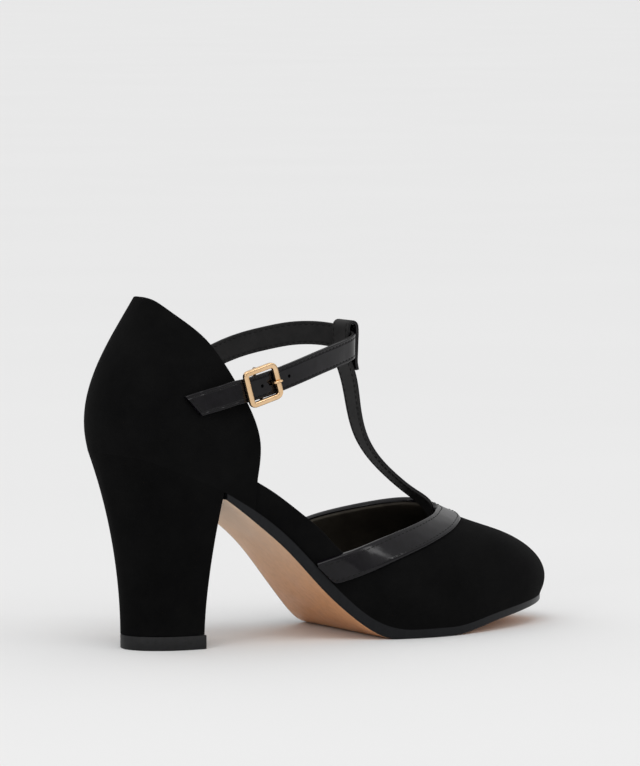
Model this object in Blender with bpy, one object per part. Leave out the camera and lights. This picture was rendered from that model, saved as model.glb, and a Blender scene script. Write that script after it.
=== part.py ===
"""A right shoe with a T strap, an ankle strap with a buckle, and an 85 mm block heel.

Tables and sizes are in millimetres, and the meshes in metres. +X runs to the toe, +Y to the inner
side of the foot and +Z up. In the tables x is measured from the plane behind the heel. The origin
is the centre of the heel's tread, on the floor.
"""

import bmesh
import bpy
import numpy as np

MM = 0.001
TREAD_X = 30.0
CLEARANCE = 0.3

# Driving sizes
WALL = 1.5
OVERLAY = 0.9
TRIM_WIDTH = 10.5
TRIM_THICK = 0.9
TRIM_GAP = 0.5
INSOLE_THICK = 2.0
INNER_NARROWER = 0.955
SOLE_CHAMFER = 0.5
BREAST_X = 52.5
BALL_FLAT = (132.0, 158.0)
NOTCH_X = 67.5
WING_X = 108.0
TRIM_REAR_X = 97.5
THROAT_X = 173.0
LIFT_THICK = 6.0
STRAP_THICK = 1.6
STRAP_WIDTH = 10.2
STRAP_CHAMFER = 0.3
TAIL_X = 33.3
TAIL_SLANT = 2.9
TAB_THICK = 1.6
TAB_WIDTH = 8.6
T_STRAP_THICK = 1.5
BUCKLE_LONG = 17.0
BUCKLE_TALL = 16.2
BUCKLE_BAR = 2.4
BUCKLE_DEEP = 2.1
BUCKLE_TURN = 3.0
CENTRE_BAR = 0.7
PRONG = 0.6
BUCKLE_X = 67.3
FRAME_LIFT = 2.3
FRAME_UP = 0.7
BAR_DEPTH = 3.0
PRONG_REST = 4.3
PRONG_HOLE = (3.5, 6.1)
TAB_REAR_X = 47.0
TAB_DROP = 1.85

# How finely the upper is meshed, and how far each of its panels stands proud
UPPER_ROWS = 8
VAMP_TO_THROAT = 13
SKIN_STEP = 1.6

LATERAL, MEDIAL = 0, 1


def table(text):
    """The columns of a small table, by the names in its first line."""
    rows = [line.split() for line in text.strip().splitlines()]
    columns = zip(*[[float(word) for word in row] for row in rows[1:]])
    return dict(zip(rows[0], map(np.array, columns)))


# The sole's outline seen from above, as the outer and inner side's y at each x.
OUTLINE = table("""
    x      outer   inner
    1.5     0.0     0.0
    5.2   -12.6    12.3
    13.0  -21.0    20.4
    26.0  -25.0    24.4
    42.0  -24.6    23.4
    58.0  -23.1    21.0
    75.0  -22.1    21.0
    92.0  -22.9    23.4
    108.0 -25.9    28.8
    124.0 -31.4    37.2
    139.0 -36.0    42.2
    152.0 -37.1    43.0
    167.0 -35.6    40.4
    182.0 -32.0    36.0
    197.0 -26.6    30.2
    210.0 -19.9    23.9
    220.5 -10.9    16.1
    227.4   3.6     3.6
""")

# The line on which the upper sits: the heel's seat, then the top of the sole.
SEAT = table("""
    x       z
    0.0    85.1
    12.0   82.7
    25.0   77.9
    40.0   72.1
    52.5   66.4
    60.0   62.4
    70.0   56.4
    85.0   44.9
    100.0  29.6
    112.0  17.2
    122.0   8.9
    131.0   4.9
    140.0   3.9
""")
ARCH = table("""
    x       z
    52.5   63.9
    60.0   58.8
    70.0   51.4
    85.0   38.9
    100.0  23.0
    112.0  11.4
    122.0   3.6
    132.0   0.0
""")
TOE_SPRING = table("""
    x      low    high
    158.0  0.0    3.9
    180.0  3.4    7.0
    200.0  6.4    9.7
    216.0  8.2   11.2
    227.4  9.0   11.9
""")

# The upper's walls as ribs. Each row is a rib that stands on the outline at foot and ends at
# x, y, z: flare is how far it leans out at its foot and lean how far it leans in at its end, in
# degrees, and rise and drop are its handles' shares of its length.
QUARTER = table("""
    foot   x     y     z      flare  rise  lean  drop
    1.5    23.4   0.0  150.1   15    0.36   31   0.36
    5.0    24.2   5.6  149.8   15    0.36   30   0.36
    10.5   26.9   9.8  148.0   15    0.36   27   0.36
    17.0   31.7  13.4  143.9   15    0.36   24   0.36
    25.0   38.1  17.0  138.6   16    0.36   19   0.36
    33.0   45.3  20.0  131.7   15    0.36   13   0.36
    41.0   52.6  22.5  121.4   14    0.36    8   0.36
    49.0   60.2  24.4  108.5   14    0.36    4   0.36
    55.0   65.0  25.5   98.5   14    0.36    2   0.36
    60.0   67.7  26.3   87.0   14    0.36    0   0.36
    63.8   67.2  26.1   77.8   14    0.36    0   0.36
    67.5   66.2  25.6   71.2   14    0.36    0   0.36
""")
# The waist band's top edge.
BAND = table("""
    foot   x     y     z
    67.5   66.2  25.6   71.2
    74.0   74.4  24.9   66.7
    81.0   82.6  24.4   61.3
    88.0   90.8  24.5   55.2
    95.0   98.8  25.1   48.6
    102.0 105.0  26.2   41.8
    108.0 109.2  27.8   37.2
""")
# The vamp's ribs run up to the last's ridge, which lies above the opening up to the throat.
VAMP = table("""
    foot   x     y     z      flare  rise  lean  drop
    103.6 120.0  5.0   85.0   15    0.44   52   0.36
    112.0 127.0  5.0   80.6   15    0.44   53   0.36
    122.0 135.0  5.0   75.6   15    0.44   55   0.37
    132.0 142.8  5.0   70.8   15    0.44   57   0.38
    142.0 150.4  5.0   66.0   15    0.44   60   0.39
    152.0 158.2  5.0   61.2   15    0.45   64   0.41
    162.0 166.0  5.0   56.8   16    0.47   69   0.43
    173.0 174.4  5.0   52.4   17    0.50   75   0.46
    182.0 181.2  4.9   49.4   18    0.51   79   0.49
    191.0 187.4  4.7   46.8   20    0.50   82   0.52
    200.0 192.6  4.5   44.8   22    0.47   83   0.54
    208.0 196.2  4.2   43.5   24    0.43   82   0.54
    216.0 198.5  3.9   42.7   25    0.40   79   0.52
    222.3 199.5  3.7   42.4   29    0.38   76   0.50
    227.4 199.8  3.6   42.3   31    0.37   73   0.48
""")
# The height of the vamp's top edge on the ribs that the opening cuts.
TOPLINE = table("""
    foot   outer  inner
    108.0  37.2   37.8
    115.0  39.2   41.1
    123.0  41.6   45.1
    132.0  44.0   48.2
    142.0  46.5   50.8
    152.0  48.5   53.2
    162.0  50.2   54.5
    168.5  51.0   53.5
    171.8  51.3   52.5
    173.0  52.4   52.4
""")
# The ankle strap's middle line. Rows with a lift lie that far off the quarter, outer side first,
# and their y is left to the quarter's surface.
ANKLE = table("""
    x      y      z      lift
    26.0   -1.0   102.8  1.2
    33.3   -1.0   104.5  1.2
    40.0   -1.0   105.9  1.5
    46.0   -1.0   107.1  2.95
    51.0   -1.0   108.2  3.15
    55.0   -1.0   109.1  3.25
    60.0  -27.6   110.2  0.0
    63.5  -27.6   111.0  0.0
    67.4  -27.6   111.9  0.0
    71.5  -27.5   112.9  0.0
    78.0  -26.9   114.6  0.0
    90.0  -24.9   117.8  0.0
    101.5 -21.2   120.5  0.0
    111.0 -17.3   122.4  0.0
    118.0 -13.8   123.7  0.0
    123.4 -10.4   124.9  0.0
    126.1  -6.6   125.8  0.0
    126.4   0.0   127.3  0.0
    126.1   6.6   128.5  0.0
    123.2  11.6   129.3  0.0
    118.0  16.8   129.7  0.0
    111.0  20.8   129.3  0.0
    102.0  23.7   127.8  0.0
    90.0   26.0   125.2  0.0
    80.0   26.4   122.2  0.0
    70.0   25.9   118.3  0.0
    63.0   25.4   115.2  0.0
    57.0    1.0   112.8  1.4
    53.5    1.0   111.5  1.3
    50.0    1.0   110.3  1.3
    46.0    1.0   109.1  1.3
    41.5    1.0   107.9  1.3
    37.0    1.0   106.9  1.3
""")
# The T strap's middle line and width, from its end under the vamp up to the ankle strap.
T_STRAP = table("""
    x      y      z     width
    180.0  2.0    44.0   6.0
    176.5  2.0    45.4   6.0
    173.2  1.6    46.8   6.0
    171.2  1.3    49.1   6.2
    169.6  1.3    51.9   7.8
    167.4  1.4    54.7  12.0
    165.0  2.4    57.0  13.4
    161.0  2.9    59.8  12.2
    151.7  2.5    66.6  10.2
    142.8  1.5    74.3   9.5
    134.6  0.5    85.2   9.8
    130.0 -0.4    99.2  10.8
    127.6 -0.4   111.0  12.2
    125.8 -0.2   116.4  12.6
""")


def spline(knots, values, at, start=None, end=None):
    """A cubic spline through the rows, with free ends or with the slope given at an end."""
    knots = np.asarray(knots, float)
    values = np.asarray(values, float)
    at = np.asarray(at, float)
    if values.ndim > 1:
        columns = [spline(knots, column, at, start, end) for column in values.T]
        return np.stack(columns, axis=-1)
    gaps = np.diff(knots)
    rise = np.diff(values) / gaps
    count = len(knots)
    system = np.zeros((count, count))
    right = np.zeros(count)
    for i in range(1, count - 1):
        system[i, i - 1 : i + 2] = gaps[i - 1], 2 * (gaps[i - 1] + gaps[i]), gaps[i]
        right[i] = 3 * (rise[i] - rise[i - 1])
    system[0, 0] = system[-1, -1] = 1.0
    if start is not None:
        system[0, :2] = 2 * gaps[0], gaps[0]
        right[0] = 3 * (rise[0] - start)
    if end is not None:
        system[-1, -2:] = gaps[-1], 2 * gaps[-1]
        right[-1] = 3 * (end - rise[-1])
    bend = np.linalg.solve(system, right)
    slope = rise - gaps * (2 * bend[:-1] + bend[1:]) / 3
    twist = np.diff(bend) / (3 * gaps)
    i = np.clip(np.searchsorted(knots, at) - 1, 0, count - 2)
    t = at - knots[i]
    return values[i] + slope[i] * t + bend[i] * t**2 + twist[i] * t**3


def unit(vectors):
    """The vectors, each scaled to a length of one."""
    return vectors / np.maximum(np.linalg.norm(vectors, axis=-1, keepdims=True), 1e-12)


def outline_knots():
    """The station of each row of the outline, from 0 at the heel to 1 at the toe."""
    outer = np.hypot(np.diff(OUTLINE["x"]), np.diff(OUTLINE["outer"]))
    inner = np.hypot(np.diff(OUTLINE["x"]), np.diff(OUTLINE["inner"]))
    along = np.concatenate([[0.0], np.cumsum(outer + inner)])
    return along / along[-1]


KNOTS = outline_knots()


def outline(side, station):
    """A point of the outline, seen from above, on one side."""
    outer = np.stack([OUTLINE["x"], OUTLINE["outer"]], axis=1)
    inner = np.stack([OUTLINE["x"], OUTLINE["inner"]], axis=1)[::-1]
    loop = np.concatenate([outer[:-1], inner[:-1]])
    turn = np.concatenate([KNOTS[:-1], 2 - KNOTS[::-1][:-1]])
    knots = np.concatenate([turn - 2, turn, turn + 2])
    station = np.asarray(station, float)
    at = station if side == LATERAL else 2 - station
    return spline(knots, np.concatenate([loop] * 3), at)


def station_at(x):
    """The station at which the outline has this x."""
    stations = np.linspace(0.0, 1.0, 801)
    return np.interp(x, outline(LATERAL, stations)[:, 0], stations)


def outward(side, station):
    """The direction straight out of the outline, seen from above."""
    step = 1e-4
    along = outline(side, np.asarray(station) + step) - outline(side, np.asarray(station) - step)
    turned = np.stack([along[..., 1], -along[..., 0]], axis=-1)
    return unit(turned if side == LATERAL else -turned)


def seat_height(x):
    """The height of the seat and of the sole's top at each x."""
    x = np.asarray(x, float)
    rear = spline(SEAT["x"], SEAT["z"], x, end=0.0)
    toe = spline(TOE_SPRING["x"], TOE_SPRING["high"], x, start=0.0)
    return np.where(x < SEAT["x"][-1], rear, np.where(x > BALL_FLAT[1], toe, SEAT["z"][-1]))


def tread_height(x):
    """The height of the sole's underside at each x."""
    x = np.asarray(x, float)
    arch = spline(ARCH["x"], ARCH["z"], x, end=0.0)
    toe = spline(TOE_SPRING["x"], TOE_SPRING["low"], x, start=0.0)
    return np.where(x < BALL_FLAT[0], arch, np.where(x > BALL_FLAT[1], toe, 0.0))


def inset(side, stations, distance):
    """The outline moved inwards by a distance, seen from above."""
    return outline(side, stations) - distance * outward(side, stations)


def table_ribs(rows, side, stations, turn):
    """Each rib's foot, two handles and end, as its table gives them; turn is the y's sign."""
    columns = np.stack([rows[name] for name in list(rows)[1:]], axis=1)
    x, y, z, flare, rise, lean, drop = spline(station_at(rows["foot"]), columns, stations).T
    foot_xy = outline(side, stations)
    foot = np.column_stack([foot_xy, seat_height(foot_xy[:, 0]) + CLEARANCE])
    end = np.stack([x, turn * y, z], axis=1)
    out = np.column_stack([outward(side, stations), np.zeros(len(x))])
    level = (end - foot) * (1, 1, 0)
    sideways = level - (level * out).sum(axis=1, keepdims=True) * out
    length = np.linalg.norm(end - foot, axis=1)[:, None]
    flare, lean, rise, drop = (part[:, None] for part in (flare, lean, rise, drop))
    flare, lean = np.radians(flare), np.radians(lean)
    up = np.array([0.0, 0.0, 1.0])
    first = foot + rise * (length * (np.sin(flare) * out + np.cos(flare) * up) + sideways)
    second = end - drop * (length * (np.cos(lean) * up - np.sin(lean) * out) + sideways)
    return np.stack([foot, first, second, end], axis=1)


def cut_ribs(full, share):
    """The lower part of each rib, as a curve of its own."""
    a, b, c, d = (full[:, i] for i in range(4))
    u = share[:, None]
    ab, bc, cd = a + (b - a) * u, b + (c - b) * u, c + (d - c) * u
    abc, bcd = ab + (bc - ab) * u, bc + (cd - bc) * u
    return np.stack([a, ab, abc, abc + (bcd - abc) * u], axis=1)


def along_ribs(controls, heights):
    """Points on each rib at shares of its length."""
    t = np.asarray(heights, float)
    t = (t if t.ndim > 1 else t[None, :])[..., None]
    s = 1 - t
    a, b, c, d = (controls[:, i, None] for i in range(4))
    return s**3 * a + 3 * s**2 * t * b + 3 * s * t**2 * c + t**3 * d


def vamp_share(side, stations, full):
    """How far up each of the vamp's ribs its top edge lies."""
    rows = TOPLINE["outer" if side == LATERAL else "inner"]
    edge = spline(station_at(TOPLINE["foot"]), rows, stations)
    fine = np.linspace(0.0, 1.0, 401)
    heights = along_ribs(full, fine)[..., 2]
    found = [np.interp(z, np.maximum.accumulate(row), fine) for z, row in zip(edge, heights)]
    return np.where(stations >= station_at(THROAT_X) - 1e-9, 1.0, found)


def rib_controls(panel, side, stations):
    """The four control points of each of a panel's ribs, from the sole to the top edge."""
    stations = np.atleast_1d(np.asarray(stations, float))
    mirror = -1.0 if side == LATERAL else INNER_NARROWER
    if panel == "quarter":
        return table_ribs(QUARTER, side, stations, mirror)
    if panel == "vamp":
        full = table_ribs(VAMP, side, stations, 1.0)
        return cut_ribs(full, vamp_share(side, stations, full))
    ends = station_at(np.array([NOTCH_X, WING_X]))
    back = rib_controls("quarter", side, ends[:1])[0]
    front = rib_controls("vamp", side, ends[1:])[0]
    blend = ((stations - ends[0]) / (ends[1] - ends[0]))[:, None]
    foot_xy = outline(side, stations)
    foot = np.column_stack([foot_xy, seat_height(foot_xy[:, 0]) + CLEARANCE])
    edge = np.stack([BAND["x"], mirror * BAND["y"], BAND["z"]], axis=1)
    edge[0], edge[-1] = back[3], front[3]
    end = spline(station_at(BAND["foot"]), edge, stations)
    first = foot + (1 - blend) * (back[1] - back[0]) + blend * (front[1] - front[0])
    second = end + (1 - blend) * (back[2] - back[3]) + blend * (front[2] - front[3])
    return np.stack([foot, first, second, end], axis=1)


def ribs(panel, side, stations, heights):
    """Points of the last's surface: a row for each station, from the sole up to the edge."""
    return along_ribs(rib_controls(panel, side, stations), heights)


def rib_normals(panel, side, stations, heights):
    """The directions straight out of the last's surface at those points."""
    step = 2e-4
    stations = np.atleast_1d(stations)
    low, high = np.clip(stations - step, 0, 1), np.clip(stations + step, 0, 1)
    along = ribs(panel, side, high, heights) - ribs(panel, side, low, heights)
    t = np.asarray(heights, float)
    up = ribs(panel, side, stations, np.minimum(t + 1e-3, 1)) - ribs(
        panel, side, stations, np.maximum(t - 1e-3, 0)
    )
    if panel == "quarter":
        # The front edge runs nearly along the ribs there, so the foot's direction steadies it.
        level = along - up * (along[..., 2:] / up[..., 2:])
        along = level + 0.6 * along[:, :1] * (1, 1, 0)
    normal = np.cross(along, up) if side == LATERAL else np.cross(up, along)
    return unit(normal)


def skin_samples(side):
    """Points of the last's surface on one side, close together, with their normals."""
    notch, wing = station_at(NOTCH_X), station_at(WING_X)
    spans = {"quarter": (0.0, notch), "band": (notch, wing), "vamp": (wing, 1.0)}
    points, normals = [], []
    for panel, (first, last) in spans.items():
        count = int((last - first) * 330 / SKIN_STEP) + 2
        at = np.linspace(first + 1e-4, last - 1e-4, count)
        heights = np.linspace(0.0, 1.0, int(75 / SKIN_STEP))
        points.append(ribs(panel, side, at, heights).reshape(-1, 3))
        normals.append(rib_normals(panel, side, at, heights).reshape(-1, 3))
    return np.concatenate(points), np.concatenate(normals)


def to_skin(samples, points):
    """The points moved onto the last's surface, and the surface's normals there."""
    places, directions = samples
    moved = np.array(points, float)
    for _ in range(2):
        found = []
        for part in np.array_split(moved, max(1, len(moved) // 200)):
            apart = ((part[:, None] - places[None]) ** 2).sum(axis=-1)
            near = np.argpartition(apart, 4, axis=1)[:, :4]
            weight = 1 / (np.take_along_axis(apart, near, axis=1) + 0.02)
            weight = (weight / weight.sum(axis=1, keepdims=True))[..., None]
            found.append(np.concatenate([
                (places[near] * weight).sum(axis=1),
                (directions[near] * weight).sum(axis=1),
            ], axis=1))
        found = np.concatenate(found)
        normal = unit(found[:, 3:])
        moved = moved - normal * ((moved - found[:, :3]) * normal).sum(axis=1, keepdims=True)
    return moved, normal


def on_quarter(samples, x, z):
    """The point of the quarter at x and z, and its normal, on the side of the samples."""
    places, directions = samples
    nearest = np.argmin((places[:, 0] - x) ** 2 + (places[:, 2] - z) ** 2)
    guess = np.array([[x, places[nearest, 1], z]])
    for _ in range(3):
        found, normal = to_skin(samples, guess)
        guess[0, 1] -= (guess[0] - found[0]) @ normal[0] / normal[0, 1]
    return guess[0], normal[0]


def resample(points, count):
    """Points at equal distances along a polyline."""
    along = np.concatenate([[0.0], np.cumsum(np.linalg.norm(np.diff(points, axis=0), axis=1))])
    at = np.linspace(0.0, along[-1], count)
    return np.stack([np.interp(at, along, column) for column in points.T], axis=1)


def softened(points, rounds):
    """A polyline with its corners rounded off, its two ends kept."""
    points = points.copy()
    for _ in range(rounds):
        points[1:-1] = (points[:-2] + 2 * points[1:-1] + points[2:]) / 4
    return points


def material(name, colour, roughness, metallic=0.0):
    """A plain Principled material."""
    made = bpy.data.materials.new(name)
    made.use_nodes = True
    shader = made.node_tree.nodes["Principled BSDF"]
    shader.inputs["Base Color"].default_value = (*colour, 1.0)
    shader.inputs["Roughness"].default_value = roughness
    shader.inputs["Metallic"].default_value = metallic
    return made


def solid(name, points, faces, finish):
    """One closed mesh from points in millimetres, its doubled points made one."""
    placed = (np.asarray(points, float) - (TREAD_X, 0.0, 0.0)) * MM
    mesh = bpy.data.meshes.new(name)
    mesh.from_pydata(placed.tolist(), [], [list(map(int, face)) for face in faces])
    work = bmesh.new()
    work.from_mesh(mesh)
    bmesh.ops.remove_doubles(work, verts=work.verts, dist=2e-6)
    bmesh.ops.triangulate(work, faces=work.faces)
    bmesh.ops.recalc_face_normals(work, faces=work.faces)
    work.to_mesh(mesh)
    work.free()
    mesh.shade_smooth()
    mesh.set_sharp_from_angle(angle=np.radians(35))
    mesh.materials.append(finish)
    made = bpy.data.objects.new(name, mesh)
    bpy.context.scene.collection.objects.link(made)
    return made


def grid_faces(rows, columns, start=0, wrap=False):
    """The quads of a grid of points, numbered row by row."""
    found = []
    for i in range(rows - 1):
        for j in range(columns if wrap else columns - 1):
            k = (j + 1) % columns
            a = start + i * columns
            found.append((a + j, a + k, a + columns + k, a + columns + j))
    return found


def plate(side_points, low, high):
    """A curved plate between two edges, with a low and a high z at each x."""
    points = []
    for z in (low, high):
        for edge in side_points:
            points.append(np.column_stack([edge, z(edge[:, 0])]))
    count = len(side_points[0])
    low_a, low_b, high_a, high_b = (i * count for i in range(4))
    faces = []
    for i in range(count - 1):
        faces.append((low_a + i, low_a + i + 1, low_b + i + 1, low_b + i))
        faces.append((high_a + i, high_b + i, high_b + i + 1, high_a + i + 1))
        faces.append((low_a + i, high_a + i, high_a + i + 1, low_a + i + 1))
        faces.append((low_b + i, low_b + i + 1, high_b + i + 1, high_b + i))
    for i in (0, count - 1):
        faces.append((low_a + i, low_b + i, high_b + i, high_a + i))
    return np.concatenate(points), faces


def eased(first, last, count, ends="both"):
    """Stations from first to last, closer together at the round ends of the outline."""
    t = np.linspace(0.0, 1.0, count)
    if ends == "both":
        t = (1 - np.cos(np.pi * t)) / 2
    elif ends == "start":
        t = 1 - np.cos(np.pi / 2 * t)
    elif ends == "end":
        t = np.sin(np.pi / 2 * t)
    return first + (last - first) * t


def make_outsole(finish):
    """The sole from the heel's breast to the toe, with a chamfered lower edge."""
    stations = np.concatenate([
        np.linspace(station_at(BREAST_X + CLEARANCE), station_at(212.0), 34),
        eased(station_at(212.0), 1.0, 9, "end")[1:],
    ])
    rings = []
    for distance, level in ((0.0, "high"), (0.0, "edge"), (SOLE_CHAMFER, "low")):
        for side in (LATERAL, MEDIAL):
            edge = inset(side, stations, distance)
            if distance:
                edge[0, 0] = outline(side, stations[:1])[0, 0]
            x = edge[:, 0]
            z = seat_height(x) if level == "high" else tread_height(x)
            z = z + SOLE_CHAMFER * (level == "edge")
            rings.append(np.column_stack([edge, z]))
    high_a, high_b, edge_a, edge_b, low_a, low_b = rings
    loop = [high_a, edge_a, low_a, low_b, edge_b, high_b]
    for pair in ((high_a, high_b), (edge_a, edge_b), (low_a, low_b)):
        pair[0][-1] = pair[1][-1] = (pair[0][-1] + pair[1][-1]) / 2
    points = np.stack(loop, axis=1).reshape(-1, 3)
    faces = grid_faces(len(stations), len(loop), wrap=True)
    faces.append(tuple(range(len(loop))))
    return solid("outsole", points, faces, finish)


def make_insole(finish):
    """The board inside the upper, from heel to toe."""
    stations = eased(0.0, 1.0, 46)
    depth = WALL + OVERLAY + CLEARANCE
    edges = [inset(side, stations, depth) for side in (LATERAL, MEDIAL)]
    for end in (0, -1):
        edges[0][end] = edges[1][end] = (edges[0][end] + edges[1][end]) / 2
    points, faces = plate(
        edges,
        lambda x: seat_height(x) + CLEARANCE,
        lambda x: seat_height(x) + CLEARANCE + INSOLE_THICK,
    )
    return solid("insole", points, faces, finish)


def upper_rib_stations():
    """Each panel's stations, and how far its outer face stands proud."""
    notch, wing, throat = (station_at(x) for x in (NOTCH_X, WING_X, THROAT_X))
    quarter = np.concatenate([
        eased(0.0, station_at(40.0), 9, "start"),
        np.linspace(station_at(40.0), notch, 9)[1:],
    ])
    vamp = np.concatenate([
        eased(wing, throat, VAMP_TO_THROAT, "end"),
        np.linspace(throat, station_at(212.0), 8)[1:],
        eased(station_at(212.0), 1.0, 8, "end")[1:],
    ])
    return {"quarter": quarter, "band": np.linspace(notch, wing, 8), "vamp": vamp[1:]}


def proud(panel, stations):
    """How far each rib's outer face stands off the last's surface: the band lies deeper."""
    if panel != "band":
        return np.zeros(len(stations))
    x = outline(LATERAL, stations)[:, 0]
    return -OVERLAY * np.clip((WING_X - x) / (WING_X - TRIM_REAR_X), 0.0, 1.0)


def upper_skin():
    """Both sides' points on the last, their normals and how far each row stands proud.

    The sides share the line behind the heel, the line in front of the toe and, past the throat,
    the ridge, so their points and normals there are made one.
    """
    panels = upper_rib_stations()
    step = station_at(NOTCH_X + 0.3) - station_at(NOTCH_X)
    heights = np.linspace(0.0, 1.0, UPPER_ROWS)
    panels["band"][0] += step
    lift = np.concatenate([proud(panel, at) for panel, at in panels.items()])
    throat = len(panels["quarter"]) + len(panels["band"]) + VAMP_TO_THROAT - 2
    skin = np.array([
        [
            np.concatenate([ribs(panel, side, at, heights) for panel, at in panels.items()]),
            np.concatenate([rib_normals(panel, side, at, heights) for panel, at in panels.items()]),
        ]
        for side in (LATERAL, MEDIAL)
    ])
    for shared in (np.s_[:, :, 0], np.s_[:, :, -1], np.s_[:, :, throat:, -1]):
        skin[shared] = skin[shared].mean(axis=0, keepdims=True)
    return skin[:, 0], unit(skin[:, 1]), lift, throat


def make_upper(finish):
    """The whole upper as one hollow wall: quarter, waist band and vamp, on both sides."""
    places, normals, lift, throat = upper_skin()
    wide = 2 * UPPER_ROWS
    points, faces = [], []
    for side in (LATERAL, MEDIAL):
        outer = places[side] + normals[side] * lift[:, None, None]
        inner = places[side] - normals[side] * (WALL + OVERLAY)
        start = side * len(lift) * wide
        points.append(np.concatenate([outer, inner[:, ::-1]], axis=1).reshape(-1, 3))
        for i in range(len(lift) - 1):
            for j in range(wide):
                if j == UPPER_ROWS - 1 and i >= throat:
                    continue
                a, b = start + i * wide, start + (i + 1) * wide
                k = (j + 1) % wide
                faces.append((a + j, a + k, b + k, b + j))
    return solid("upper", np.concatenate(points), faces, finish)


def lift_outline(count):
    """The heel's tread: a half ellipse to the back and a straight breast, from side to side."""
    back, front, half = 15.7, 45.6, 18.2
    turn = np.linspace(-np.pi / 2, np.pi / 2, count)
    x = front - (front - back) * np.cos(turn) ** 0.92
    y = half * np.sin(turn)
    return np.stack([x, y], axis=1)


def make_heel(finish, lift_finish):
    """The block heel under the seat, and the top piece that it treads on."""
    around = 33
    half = around // 2
    stations = eased(0.0, station_at(BREAST_X), half + 1, "start")
    top = np.concatenate([
        outline(LATERAL, stations)[::-1],
        outline(MEDIAL, stations)[1:],
    ])
    top[0, 0] = top[-1, 0] = BREAST_X
    bottom = lift_outline(around)
    levels = np.linspace(0.0, 1.0, 9)
    low = LIFT_THICK + CLEARANCE
    power = 1.85 - 0.3 * np.clip(np.abs(np.linspace(-1, 1, around)) * 1.6 - 0.6, 0, 1)
    rings = []
    for level in levels:
        blend = (1 - (1 - level) ** power)[:, None]
        xy = top + (bottom - top) * blend
        z = seat_height(top[:, 0]) * (1 - level) + low * level
        rings.append(np.column_stack([xy, z]))
    points = np.concatenate(rings)
    faces = grid_faces(len(levels), around)
    last = (len(levels) - 1) * around
    for i in range(half):
        a, b = i, around - 1 - i
        faces.append((a, b, b - 1, a + 1) if b - 1 != a + 1 else (a, b, a + 1))
        a, b = last + i, last + around - 1 - i
        faces.append((a, a + 1, b - 1, b) if b - 1 != a + 1 else (a, a + 1, b))
    for k in range(len(levels) - 1):
        a, b = k * around, (k + 1) * around
        faces.append((a, b, b + around - 1, a + around - 1))
    heel = solid("heel_block", points, faces, finish)
    tread = lift_outline(around)
    points = np.concatenate([
        np.column_stack([tread, np.zeros(around)]),
        np.column_stack([tread, np.full(around, LIFT_THICK)]),
    ])
    faces = grid_faces(2, around, wrap=True)
    faces += [tuple(range(around)), tuple(range(around, 2 * around))]
    return heel, solid("heel_top_piece", points, faces, lift_finish)


def trim_edge(samples, count):
    """The trim's upper edge: from the sole outside, round the throat and back inside."""
    throat = station_at(THROAT_X)
    halves = []
    for side in (LATERAL, MEDIAL):
        at = eased(station_at(WING_X), throat, 60, "end")
        top = rib_controls("vamp", side, at)[:, 3]
        rear = outline(side, station_at(TRIM_REAR_X))
        tip = np.array([*rear, seat_height(TRIM_REAR_X) + CLEARANCE + 1.0])
        halves.append(np.concatenate([tip + (top[0] - tip) * np.linspace(0, 0.95, 12)[:, None], top]))
    line = np.concatenate([halves[0], halves[1][::-1][1:]])
    line = softened(resample(line, 240), 14)
    line, _ = to_skin(samples, line)
    return resample(line, count)


def trim_rows(samples, line, rows):
    """Lines across the trim, from its upper edge down, cut off where they reach the sole."""
    along = unit(np.gradient(line, axis=0))
    place, normal = to_skin(samples, line)
    heading = unit(np.cross(along, normal))
    path, steps = [place], 16
    for _ in range(steps):
        heading = unit(heading - normal * (heading * normal).sum(axis=1, keepdims=True))
        place, normal = to_skin(samples, place + heading * TRIM_WIDTH / steps)
        path.append(place)
    path = np.stack([softened(row, 1 + 2 * i) for i, row in enumerate(path)], axis=1)
    floor = seat_height(path[..., 0]) + CLEARANCE + 0.4
    sunk = path[..., 2] < floor
    last = np.where(sunk.any(axis=1), sunk.argmax(axis=1) - 0.5, float(steps))
    shares = np.linspace(0.0, 1.0, rows) * np.maximum(last, 0.6)[:, None]
    low = np.minimum(shares.astype(int), steps - 1)
    part = (shares - low)[..., None]
    index = np.arange(len(path))[:, None]
    across = path[index, low] * (1 - part) + path[index, low + 1] * part
    flat, normals = to_skin(samples, across.reshape(-1, 3))
    return flat.reshape(across.shape), normals.reshape(across.shape)


def make_trim(samples, finish):
    """The patent strip that lies on the vamp along its top edge."""
    places, normals = trim_rows(samples, trim_edge(samples, 88), 5)
    inner = places + normals * TRIM_GAP
    outer = places + normals * (TRIM_GAP + TRIM_THICK)
    rings = np.concatenate([outer, inner[:, ::-1]], axis=1)
    count = rings.shape[1]
    faces = grid_faces(len(rings), count, wrap=True)
    last = (len(rings) - 1) * count
    for j in range(count // 2 - 1):
        a, b = j, count - 1 - j
        faces.append((a, a + 1, b - 1, b))
        faces.append((last + a, last + b, last + b - 1, last + a + 1))
    return solid("vamp_binding", rings.reshape(-1, 3), faces, finish)


def ribbon(centre, across, out, width, thick, skew=None):
    """Points and faces of a strap with chamfered edges, along its middle line."""
    half = np.broadcast_to(np.asarray(width, float) / 2, len(centre))[:, None]
    skew = np.zeros((len(centre), 3)) if skew is None else skew
    flat = 1 - STRAP_CHAMFER / half
    corners = [(-flat, -1.0), (-1.0, -0.45), (-1.0, 0.45), (-flat, 1.0)]
    corners += [(flat, 1.0), (1.0, 0.45), (1.0, -0.45), (flat, -1.0)]
    points = np.stack(
        [centre + across * half * v + out * thick / 2 * n + skew * v for v, n in corners], axis=1
    )
    faces = grid_faces(len(centre), 8, wrap=True)
    faces.append(tuple(range(8)))
    faces.append(tuple((len(centre) - 1) * 8 + i for i in range(8)))
    return points.reshape(-1, 3), faces


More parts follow.
